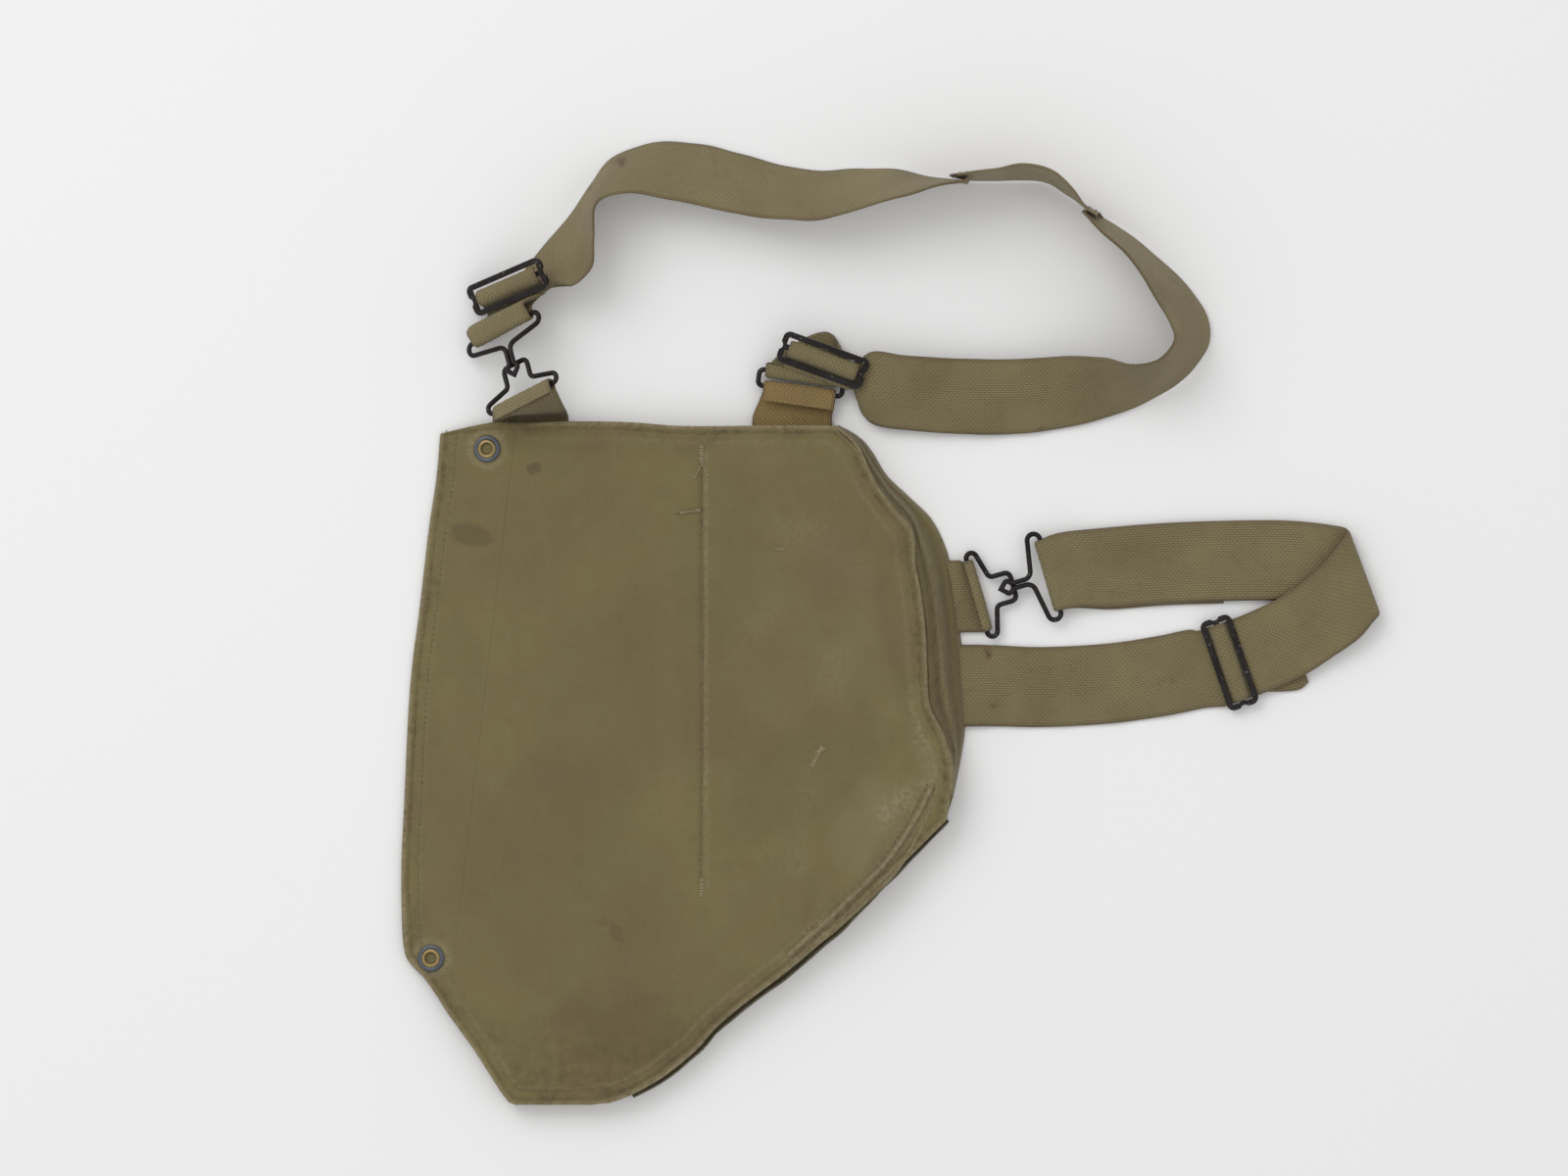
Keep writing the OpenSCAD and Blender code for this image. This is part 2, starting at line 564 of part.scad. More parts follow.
module right_tab() {
    y0 = shoulder_axis_y + gap;
    root = [[right_tab_x[0], y0, tab_root_z], [right_tab_x[1], y0, tab_root_z]];
    seat = across(right_ring_at, -3, -loop_r, hook_web_w);
    color("tan") strip(concat(smooth([root, (root + seat) / 2, seat], 3),
        wrap(right_ring_at, 0, hook_web_w, side = -1),
        [across(right_ring_at, -8, loop_r, hook_web_w)]), web_t);
}

// ---- waist strap ----

module waist_tab() {
    z = canvas_t + 0.9;
    a = waist_line(waist_spans[0][0]) + [gap, 0];
    b = waist_line(waist_spans[0][1]) + [gap, 0];
    root = [[a[0], a[1], z], [b[0], b[1], z]];
    seat = across(waist_hooks, -hook_back - 1.5, -loop_r, hook_web_w);
    color("darkkhaki") strip(concat([root, seat], wrap(waist_hooks, -hook_back, hook_web_w, side = -1),
        [across(waist_hooks, -hook_back - 2, loop_r, hook_web_w)]), web_t);
}

module waist_strap() {
    s = waist_slide_at;
    through = concat(weave(s, waist_w), [across(s, window_at + weave_run, -slide_over, waist_w),
                                         across(s, slide_len / 2 + 1.5, -slide_over, waist_w)]);
    turn = wrap(waist_arrow_at, arrow_back, hook_web_w, facing = -1);
    near = [across(waist_arrow_at, arrow_back + 10, loop_r - 0.6, hook_web_w + 2)];
    below = [across(waist_arrow_at, arrow_back + 8, -loop_r + 0.5, hook_web_w + 2)];
    color("darkkhaki") strip(concat(smooth(waist_route, 2), through, smooth(waist_rise, 3), near, turn, below,
                                    smooth(waist_under, 2)), web_t);
}

module waist_tail() {
    tail_z = 1.05;
    start = across(waist_slide_at, 3, 0, waist_w - 8);
    route = [start, [[326, 80], [341, 40.5]], [[332, 83.5], [346, 44.5]]];
    color("darkkhaki") strip([for (p = route) [for (q = p) [q[0], q[1], tail_z]]], web_t);
}

back_panel();
front_panel();
side_gusset();
top_seam();
bottom_seam();
edge_binding();
dog_ear_seam();
compartment_divider();
bar_tacks();
mouth_facing();
snap_studs();
stud_washers();
left_anchor();
right_anchor();
waist_anchors();
mouth_fold();
flap_panel();
flap_hem();
snap_discs();
snap_eyelets();
left_tab();
left_eye_hook();
left_arrow_hook();
left_strap();
left_slide();
splice_piece();
splice_stitches();
right_strap();
right_slide();
right_ring();
right_tab();
waist_tab();
waist_eye_hook();
waist_arrow_hook();
waist_strap();
waist_tail();
waist_slide();
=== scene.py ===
"""Side-opening canvas carrier with a shoulder strap and a waist strap, lying flat on a pale floor."""
import math
import bpy
import numpy as np
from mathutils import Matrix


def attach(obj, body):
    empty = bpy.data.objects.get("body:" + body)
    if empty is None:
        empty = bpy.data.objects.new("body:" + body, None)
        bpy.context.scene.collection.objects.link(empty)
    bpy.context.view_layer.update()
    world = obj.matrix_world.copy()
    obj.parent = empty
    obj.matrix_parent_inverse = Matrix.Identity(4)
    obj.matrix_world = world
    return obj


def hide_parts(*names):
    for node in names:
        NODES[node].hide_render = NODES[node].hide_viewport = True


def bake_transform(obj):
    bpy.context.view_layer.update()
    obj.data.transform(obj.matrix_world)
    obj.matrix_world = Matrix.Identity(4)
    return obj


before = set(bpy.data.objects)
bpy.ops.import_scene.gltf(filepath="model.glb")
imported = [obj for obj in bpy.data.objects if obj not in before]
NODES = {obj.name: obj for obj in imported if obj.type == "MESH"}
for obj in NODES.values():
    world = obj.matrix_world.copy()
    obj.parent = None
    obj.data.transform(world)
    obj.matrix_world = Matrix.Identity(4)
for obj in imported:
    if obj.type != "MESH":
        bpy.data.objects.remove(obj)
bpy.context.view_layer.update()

MM = 0.001
TAU = 2 * math.pi
rng = np.random.default_rng(11)

# ---- values and routes shared with the CAD, in millimetres ----

CANVAS_T = 1.4
WEB_T = 1.7
WIRE_D = 2.8
SHOULDER_W = 42.5
WAIST_W = 44.5
HOOK_WEB_W = 40.5
SLIDE_BAR = 3.2
SLIDE_LEN = 18
SLIDE_T = 1.8
HOOK_BACK = 20
ARROW_BACK = 22.3
HOOK_LIFT = WIRE_D + 0.3
LOOP_R = WIRE_D / 2 + 0.45 + WEB_T / 2
RING_DEPTH = 9
TOP_Y = 188.0
DEPTH = 189.0
SNAP_D = 15.0
FACING_Z = 3.0
FRONT_Z = 9.0
FLAP_SLOPE = math.asin((FRONT_Z - 0.25) / 47)
FRONT_TILT = math.radians(2)

MOUTH_TOP = np.array([-88.0, 189.0])
MOUTH_END = np.array([-127.0, -143.0])
MOUTH_Y = (MOUTH_TOP - MOUTH_END) / np.linalg.norm(MOUTH_TOP - MOUTH_END)
MOUTH_X = np.array([MOUTH_Y[1], -MOUTH_Y[0]])

FLAP_EDGE = [(-107, TOP_Y), (-134.7, 185), (-136.8, 158), (-141, 129), (-146, 86), (-151, 46), (-154.5, -20),
             (-156.2, -67), (-153.7, -107), (-150, -112.5), (-143.5, -119), (-135, -131)]
LOWER_EDGE = [(-132, -136), (-127, -143), (-116, -158), (-100.5, -182.4), (-96, -DEPTH + 1), (-91, -DEPTH),
              (-62, -DEPTH), (-41, -DEPTH + 1.5), (-29, -183), (-12, -173.5), (7, -158), (17, -146.5),
              (31.5, -134), (56.5, -115), (85, -90.5), (104, -71.5), (123, -53), (145, -31)]
FOLD_EDGE = [(147, -18), (148, -2), (143, 15), (135, 32), (133.5, 53), (132.5, 75), (130, 94.5), (127, 111),
             (125.5, 128), (115, 141), (105, 155), (95, 176), (84, TOP_Y - 2)]
BACK_EDGE = [(149, -18), (153, 2), (155.4, 20), (155, 42), (153.4, 64), (149.6, 97), (144.6, 119),
             (136.5, 135), (125, 146.5), (112, 159), (104, 172), (97, 180), (86, TOP_Y - 1.4)]
TOP_EDGE = [(44, TOP_Y - 2), (-4, TOP_Y - 2), (-30, TOP_Y), (-84, TOP_Y)]
SNAPS = [(-19.3, -17.7), (-17.2, -301.2)]

LEFT_HOOKS = ((-93, 219.5, 21.5), 105, -20, -30)
LEFT_SLIDE = ((-97, 263, 17.5), 112, 0, -28)
RING = ((64, 205.8, 5.1), 82, 0, 0)
RIGHT_SLIDE = ((77, 222.5, 14.5), 70, 12, 0)
WAIST_HOOKS = ((181.4, 97.7, 3.9), 16, 0, 0)
WAIST_ARROW = ((181.4, 97.7, 3.9 + HOOK_LIFT), 16, -5, 0)
WAIST_SLIDE = ((302, 55.4, 4.4), 19, 6, 0)
WAIST_AXIS = np.array([(150.4, 113.0), (157.5, 20.0)])

LEFT_ROUTE = [(-94, 266, -4, 37), (-77, 287, -26, 45), (-61, 306, -56, 60), (-51, 321, -82, 68),
              (-41, 334, -94, 58), (-23, 342, -103, 47), (-6, 344, -103, 39), (12, 342, -92, 34),
              (32, 337, -86, 34), (54, 331, -88, 42), (74, 328, -86, 47), (98, 329, -86, 57),
              (120, 328, -80, 68), (139, 323.5, -72, 82), (157, 321, -74, 90)]
SPLICE_ROUTE = [(150, 324.6, -74, 89), (157, 323.4, -75, 92), (172, 322.6, -80, 96), (186, 323, -84, 99),
                (202, 321, -98, 97), (213, 314.6, -112, 92), (222.2, 308.1, -123, 87),
                (229.8, 304.4, -127, 85)]
RIGHT_ROUTE = [(221, 306, -124, 86), (236, 299, -130, 78), (252, 288, -134, 74), (268, 275, -140, 66),
               (282, 260, -150, 60), (290, 246, -166, 58), (291, 232, 170, 60), (284, 220, 148, 64),
               (272, 209, 132, 66), (257, 200, 118, 58), (240, 193, 104, 42), (214, 186, 94, 24),
               (184, 182, 90, 14), (152, 182, 90, 12), (124, 184, 92, 14), (109, 186, 97, 12)]
RIGHT_LIFT = [1] * 12 + [1.5, 3, 4.5, 5]
RIGHT_DIVE = [((102, 189, 5), (94, 222, 11.4)), ((98.5, 195, 3.6), (87.5, 228, 8)),
              ((99.5, 203, 2.4), (79.5, 238.5, 3.4))]
WAIST_ROUTE = [((155.2, 65.3, 2.3), (158.4, 20, 2.3)), ((172, 65, 1.4), (176, 20, 1.4)),
               ((197, 64, 1.1), (198, 19.6, 1.1)), ((235, 66, 1.1), (236, 21.6, 1.1)),
               ((262, 70, 1.1), (268, 26, 1.1)), ((280, 73.6, 1.1), (290.5, 30.4, 1.1))]
WAIST_RISE = [((318, 85.5, 4.6), (333, 43.5, 4.2)), ((330, 91.5, 6.4), (347, 50.5, 5.2)),
              ((342, 100, 7.6), (359, 58.5, 6.8)), ((355, 112, 9), (373.5, 68.8, 8.6)),
              ((364, 123.5, 9.6), (381, 77.5, 9.4)), ((366.4, 127, 8.8), (383.6, 80.6, 8.6)),
              ((367.4, 128.7, 6.4), (384.6, 81.8, 6.2)), ((366, 130, 3.8), (382.6, 83.4, 3.6)),
              ((359, 131.5, 3), (372, 87, 3)), ((336, 134, 3), (338, 89.6, 3)),
              ((300, 134, 3), (301, 89.5, 3)),
              ((264, 132.6, 3), (267, 88.2, 3)), ((232, 130, 3.4), (237, 86.2, 3.4))]
WAIST_UNDER = [((232, 128.6, 1.2), (236.5, 84.8, 1.2)), ((262, 131.4, 1.1), (265.6, 87, 1.1)),
               ((298, 132.6, 1.1), (299, 88.2, 1.1))]


# ---- shared geometry ----

def unit(v):
    v = np.asarray(v, float)
    return v / np.maximum(np.linalg.norm(v, axis=-1, keepdims=True), 1e-9)


def smoothstep(x, low, high):
    t = np.clip((x - low) / (high - low), 0, 1)
    return t * t * (3 - 2 * t)


def axes(f):
    h, p, r = (math.radians(a) for a in f[1:])
    u = np.array([math.cos(p) * math.cos(h), math.cos(p) * math.sin(h), math.sin(p)])
    side = np.array([-math.sin(h), math.cos(h), 0])
    v = math.cos(r) * side + math.sin(r) * np.cross(u, side)
    return u, v, np.cross(u, v)


def across(f, along, lift, width):
    u, v, n = axes(f)
    p = np.array(f[0], float) + along * u + lift * n
    return p + v * width / 2, p - v * width / 2


def wrap(f, along, width, r=LOOP_R, facing=1, side=1):
    return [across(f, along + facing * r * math.sin(a), side * r * math.cos(a), width)
            for a in np.radians(np.arange(0, 181, 30))]


def standing(s, width, lift=1):
    azimuth, tilt = math.radians(s[2]), math.radians(s[3])
    low = np.array([s[0], s[1], lift + WEB_T / 2 * abs(math.cos(tilt))])
    return low, low + width * np.array([math.cos(azimuth) * math.cos(tilt),
                                        math.sin(azimuth) * math.cos(tilt), math.sin(tilt)])


OVER = SLIDE_T / 2 + WEB_T / 2 + 0.2
WINDOW = (SLIDE_LEN - SLIDE_BAR) / 4


def weave(f, w):
    return [across(f, -SLIDE_LEN / 2 - 1.5, -OVER, w), across(f, -WINDOW - 1.5, -OVER, w),
            across(f, -WINDOW + 1.5, OVER, w), across(f, WINDOW - 1.5, OVER, w)]


def curve(points, step):
    """Points about a step apart on a centripetal spline through the given ones."""
    p = np.asarray(points, float)
    shape = p.shape[1:]
    p = p.reshape(len(p), -1)
    p = np.vstack([2 * p[0] - p[1], p, 2 * p[-1] - p[-2]])
    out = []
    for i in range(1, len(p) - 2):
        q = p[i - 1:i + 3]
        t = np.concatenate([[0], np.cumsum(np.sqrt(np.linalg.norm(np.diff(q, axis=0), axis=1)) + 1e-6)])
        n = max(1, int(math.ceil(np.linalg.norm(q[2] - q[1]) / step)))
        for s in np.linspace(t[1], t[2], n, endpoint=False):
            a = [((t[k + 1] - s) * q[k] + (s - t[k]) * q[k + 1]) / (t[k + 1] - t[k]) for k in range(3)]
            b = [((t[k + 2] - s) * a[k] + (s - t[k]) * a[k + 1]) / (t[k + 2] - t[k]) for k in range(2)]
            out.append(((t[2] - s) * b[0] + (s - t[1]) * b[1]) / (t[2] - t[1]))
    out.append(p[-2])
    return np.array(out).reshape((-1,) + shape)


def run_along(p):
    return np.concatenate([[0], np.cumsum(np.linalg.norm(np.diff(p, axis=0), axis=1))])


def to_left(p):
    """Flat unit normals on the left of a line of points."""
    d = unit(np.gradient(p, axis=0))
    return np.stack([-d[:, 1], d[:, 0]], axis=1)


def distance(x, y, line):
    """Distance of flat points from a polyline."""
    best = np.full(np.shape(x), 1e9)
    for a, b in zip(line[:-1], line[1:]):
        ax, ay, dx, dy = a[0], a[1], b[0] - a[0], b[1] - a[1]
        t = np.clip(((x - ax) * dx + (y - ay) * dy) / max(dx * dx + dy * dy, 1e-9), 0, 1)
        best = np.minimum(best, np.hypot(x - ax - t * dx, y - ay - t * dy))
    return best


WAVES = [(rng.uniform(0, math.pi), rng.uniform(0, TAU), rng.uniform(0, TAU)) for _ in range(24)]


def rumple(x, y, size, first=0, count=6):
    """Smooth irregular height from -1 to 1 with features of about a given size."""
    total = 0
    for k in range(count):
        turn, phase, bend = WAVES[(first + k) % len(WAVES)]
        scale = TAU / (size * (0.75 + 0.5 * ((k * 0.618) % 1)))
        u = x * math.cos(turn) + y * math.sin(turn)
        v = y * math.cos(turn) - x * math.sin(turn)
        total = total + np.sin(scale * u + phase + 1.3 * np.sin(0.45 * scale * v + bend))
    return total / count * 1.4


class Batch:
    """Vertices in millimetres, faces, flat coordinates and tone (wear, dirt and painted shade, rust) of one
    mesh.
    """

    def __init__(self):
        self.v, self.f, self.uv, self.tone, self.n = [], [], [], [], 0

    def add(self, v, f, uv=None, tone=None):
        v = np.asarray(v, float)
        self.v.append(v)
        self.f += [[i + self.n for i in q] for q in f]
        self.uv.append(v[:, :2] if uv is None else np.asarray(uv, float))
        self.tone.append(np.zeros((len(v), 3)) if tone is None else np.asarray(tone, float))
        self.n += len(v)

    def build(self, name, material, body=None, replaces=(), slot=None, smooth=True):
        v, uv, tone = np.vstack(self.v), np.vstack(self.uv), np.vstack(self.tone)
        me = bpy.data.meshes.new(name)
        me.from_pydata((v * MM).tolist(), [], self.f)
        index = np.empty(len(me.loops), np.int32)
        me.loops.foreach_get("vertex_index", index)
        me.uv_layers.new(name="flat").data.foreach_set("uv", (uv[index] * MM).astype(np.float32).ravel())
        colour = np.column_stack([tone, np.ones(len(tone))]).astype(np.float32)
        me.color_attributes.new("tone", "FLOAT_COLOR", "POINT").data.foreach_set("color", colour.ravel())
        me.polygons.foreach_set("use_smooth", [smooth] * len(me.polygons))
        me.materials.append(material)
        me.update()
        obj = bpy.data.objects.new(name, me)
        bpy.context.scene.collection.objects.link(obj)
        if replaces:
            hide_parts(*replaces)
        if body:
            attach(obj, body)
        return obj


def add_sheet(batch, top, thick, uv, tone, direction=(0, 0, -1)):
    """A closed cloth from a grid of top points; direction may be one vector or one a point."""
    rows, cols = top.shape[:2]
    down = np.broadcast_to(np.asarray(direction, float), top.shape) * thick
    low = top + down
    middle = top + down / 2
    v = np.concatenate([top.reshape(-1, 3), low.reshape(-1, 3)])
    n = rows * cols
    faces = []
    for i in range(rows - 1):
        for j in range(cols - 1):
            a = i * cols + j
            faces.append([a, a + 1, a + cols + 1, a + cols])
            faces.append([n + a, n + a + cols, n + a + cols + 1, n + a + 1])
    ring = ([(0, j) for j in range(cols)] + [(i, cols - 1) for i in range(1, rows)]
            + [(rows - 1, j) for j in range(cols - 2, -1, -1)] + [(i, 0) for i in range(rows - 2, 0, -1)])
    inner = {}
    centre = top.reshape(-1, 3).mean(0)
    rim = []
    m = len(ring)
    for k, (i, j) in enumerate(ring):
        before, after = ring[k - 1], ring[(k + 1) % m]
        run = top[after] - top[before]
        out = np.cross(run, -down[i, j])
        out = out / max(np.linalg.norm(out), 1e-9)
        if np.dot(out, middle[i, j] - centre) < 0:
            out = -out
        rim.append(middle[i, j] + out * thick * 0.3)
        inner[k] = i * cols + j
    v = np.vstack([v, rim])
    for k in range(m):
        a, b = inner[k], inner[(k + 1) % m]
        p, q = 2 * n + k, 2 * n + (k + 1) % m
        faces.append([b, a, p, q])
        faces.append([q, p, n + a, n + b])
    order = [inner[k] for k in range(m)]
    uv = uv.reshape(-1, 2)
    tone = np.broadcast_to(tone, top.shape).reshape(-1, 3)
    batch.add(v, faces, np.vstack([uv, uv, uv[order]]), np.vstack([tone, tone, tone[order]]))


def add_tube(batch, points, r, sides=6, tone=None, taper=True):
    p = np.asarray(points, float)
    t = unit(np.gradient(p, axis=0))
    up = np.array([0.0, 0.0, 1.0]) if abs(t[:, 2]).max() < 0.9 else np.array([0.31, 0.95, 0.0])
    a = unit(np.cross(t, up))
    b = np.cross(a, t)
    n = len(p)
    radius = np.full(n, float(r))
    if taper:
        radius[0] = radius[-1] = r * 0.45
    angles = np.arange(sides) * TAU / sides
    ring = (a[:, None] * np.cos(angles)[None, :, None] + b[:, None] * np.sin(angles)[None, :, None])
    v = (p[:, None] + ring * radius[:, None, None]).reshape(-1, 3)
    faces = [[i * sides + k, i * sides + (k + 1) % sides, (i + 1) * sides + (k + 1) % sides, (i + 1) * sides
              + k]
             for i in range(n - 1) for k in range(sides)]
    faces.append(list(range(sides))[::-1])
    faces.append([(n - 1) * sides + k for k in range(sides)])
    length = run_along(p)
    uv = np.stack([np.repeat(length, sides) + p[0, 0], np.tile(angles * r, n) + p[0, 1]], axis=1)
    batch.add(v, faces, uv, None if tone is None else np.tile(tone, (n * sides, 1)))


def add_stitches(batch, line, normal=(0, 0, 1), pitch=3.3, length=2.5, r=0.3, lift=0.05, tone=None):
    """Short sunk threads along a line of points; normal may be one vector or one a point."""
    p = np.asarray(line, float)
    normals = np.broadcast_to(np.asarray(normal, float), p.shape)
    s = run_along(p)
    at = lambda x: np.array([np.interp(x, s, p[:, k]) for k in range(3)])
    up = lambda x: unit(np.array([np.interp(x, s, normals[:, k]) for k in range(3)]))
    x = 0.4
    while x + length < s[-1]:
        jitter = rng.uniform(-0.12, 0.12, 2)
        ends = [(x + jitter[0], -0.7), (x + 0.22 * length, 0.62), (x + 0.78 * length, 0.62),
                (x + length + jitter[1], -0.7)]
        add_tube(batch, [at(a) + up(a) * (lift + r * h) for a, h in ends], r, 5, tone)
        x += pitch


class Ribbon:
    """Webbing through pairs of edge points."""

    def __init__(self, pairs, step=2.0):
        q = curve(pairs, step)
        self.a, self.b = q[:, 0], q[:, 1]
        self.mid = (self.a + self.b) / 2
        self.up = unit(np.cross(np.gradient(self.mid, axis=0), self.a - self.b))
        self.s = run_along(self.mid)
        self.length = self.s[-1]

    def at(self, s, v, lift=0.0):
        """Place on the ribbon, v from -1 at the second edge to 1 at the first."""
        take = lambda x: np.stack([np.interp(s, self.s, x[:, k]) for k in range(3)], axis=-1)
        v = np.asarray(v)[..., None]
        return (take(self.mid) + take(self.a - self.b) / 2 * v
                + unit(take(self.up)) * np.asarray(lift)[..., None])

    def normal(self, s):
        return unit(np.stack([np.interp(s, self.s, self.up[:, k]) for k in range(3)], axis=-1))

    def mesh(self, batch, wave=0.25, rust=(), seed=0, start=0.0, thick=WEB_T):
        cols = 22
        v = np.sin(np.linspace(-1, 1, cols) * math.pi / 2) * 0.35 + np.linspace(-1, 1, cols) * 0.65
        s, n = self.s, len(self.s)
        width = np.linalg.norm(self.a - self.b, axis=1)
        ss, vv = np.meshgrid(s, v, indexing="ij")
        off = vv * width[:, None] / 2
        half = thick / 2 * np.sqrt(np.clip(1 - np.clip((np.abs(vv) - 0.955) / 0.045, 0, 1) ** 2, 0.02, 1))
        rib = 0.10 * np.cos(TAU * off / 5.2) * (np.abs(vv) < 0.93)
        sway = wave * rumple(ss + 37 * seed, off, 46, seed) + wave * 0.8 * np.abs(vv) ** 3 * np.sin(
            TAU * ss / 27 + seed + 2.2 * np.sign(vv))
        base = self.mid[:, None] + (self.a - self.b)[:, None] / 2 * vv[..., None]
        up = self.up[:, None]
        top = base + up * (sway + half + rib)[..., None]
        low = base + up * (sway - half - rib)[..., None]
        ring = np.concatenate([top, low[:, ::-1][:, 1:-1]], axis=1)
        m = ring.shape[1]
        v2 = np.concatenate([off, off[:, ::-1][:, 1:-1]], axis=1)
        s2 = np.broadcast_to(s[:, None], v2.shape)
        faces = [[i * m + k, i * m + (k + 1) % m, (i + 1) * m + (k + 1) % m, (i + 1) * m + k]
                 for i in range(n - 1) for k in range(m)]
        for k in range(cols - 1):
            q = list(dict.fromkeys([k, k + 1, (m - k - 1) % m, (m - k) % m]))
            if len(q) > 2:
                faces.append(q)
                faces.append([(n - 1) * m + i for i in q][::-1])
        points = ring.reshape(-1, 3)
        edge = np.abs(v2 / (width[:, None] / 2)).ravel()
        tone = np.zeros((len(points), 3))
        tone[:, 0] = 0.35 * np.clip(rumple(s2.ravel(), v2.ravel(), 38, seed + 3), 0, 1)
        # Painted shade on the webbing's rounded edges, darker towards each edge, with random dirt over the
        # face.
        tone[:, 1] = (0.75 * smoothstep(edge, 0.86, 1.0)
                      + 0.3 * np.clip(rumple(s2.ravel(), v2.ravel(), 60, seed), 0, 1))
        for x, y, r, amount in rust:
            d = np.hypot(points[:, 0] - x, points[:, 1] - y) + 1.6 * rumple(points[:, 0], points[:, 1], 7, 5)
            tone[:, 2] = np.maximum(tone[:, 2], amount * (1 - smoothstep(d, r * 0.5, r * 1.25)))
        batch.add(points, faces, np.stack([s2.ravel() + start, v2.ravel()], axis=1), tone)

    def stitch(self, batch, s0, s1, v0, v1, side=1, tone=None, thick=WEB_T, **kind):
        k = max(2, int(math.hypot(s1 - s0, (v1 - v0) * 20) / 1.5))
        s, v = np.linspace(s0, s1, k), np.linspace(v0, v1, k)
        p = self.at(s, v, np.full(k, side * (thick / 2 + 0.1)))
        add_stitches(batch, p, self.normal(s) * side, tone=tone, **kind)

    def fringe(self, batch, at_end, length=3.5, count=36, tone=None):
        s0 = self.length if at_end else 0.0
        out = unit(self.mid[-1] - self.mid[-2]) if at_end else unit(self.mid[0] - self.mid[1])
        for k in range(count):
            v = -0.98 + 1.96 * (k + rng.uniform(0, 0.8)) / count
            p = self.at(np.array([s0]), np.array([v]), np.array([rng.uniform(-0.5, 0.5)]))[0]
            n, side = self.normal(np.array([s0]))[0], unit(self.a[-1 if at_end else 0]
                                                           - self.b[-1 if at_end else 0])
            reach = length * rng.uniform(0.3, 1.0)
            bend = n * rng.uniform(-0.9, 0.9) + side * rng.uniform(-0.9, 0.9)
            add_tube(batch, [p - out * 0.6, p + out * reach * 0.5 + bend * 0.3, p + out * reach + bend], 0.2,
                     4, tone)


# ---- materials ----

def add_node(tree, kind, **values):
    node = tree.nodes.new(kind)
    for key, value in values.items():
        if key.startswith("set_"):
            setattr(node, key[4:], value)
            continue
        socket = node.inputs[int(key[1:])] if key[0] == "i" and key[1:].isdigit() else node.inputs[key]
        if isinstance(value, bpy.types.NodeSocket):
            tree.links.new(value, socket)
        else:
            socket.default_value = value
    return node


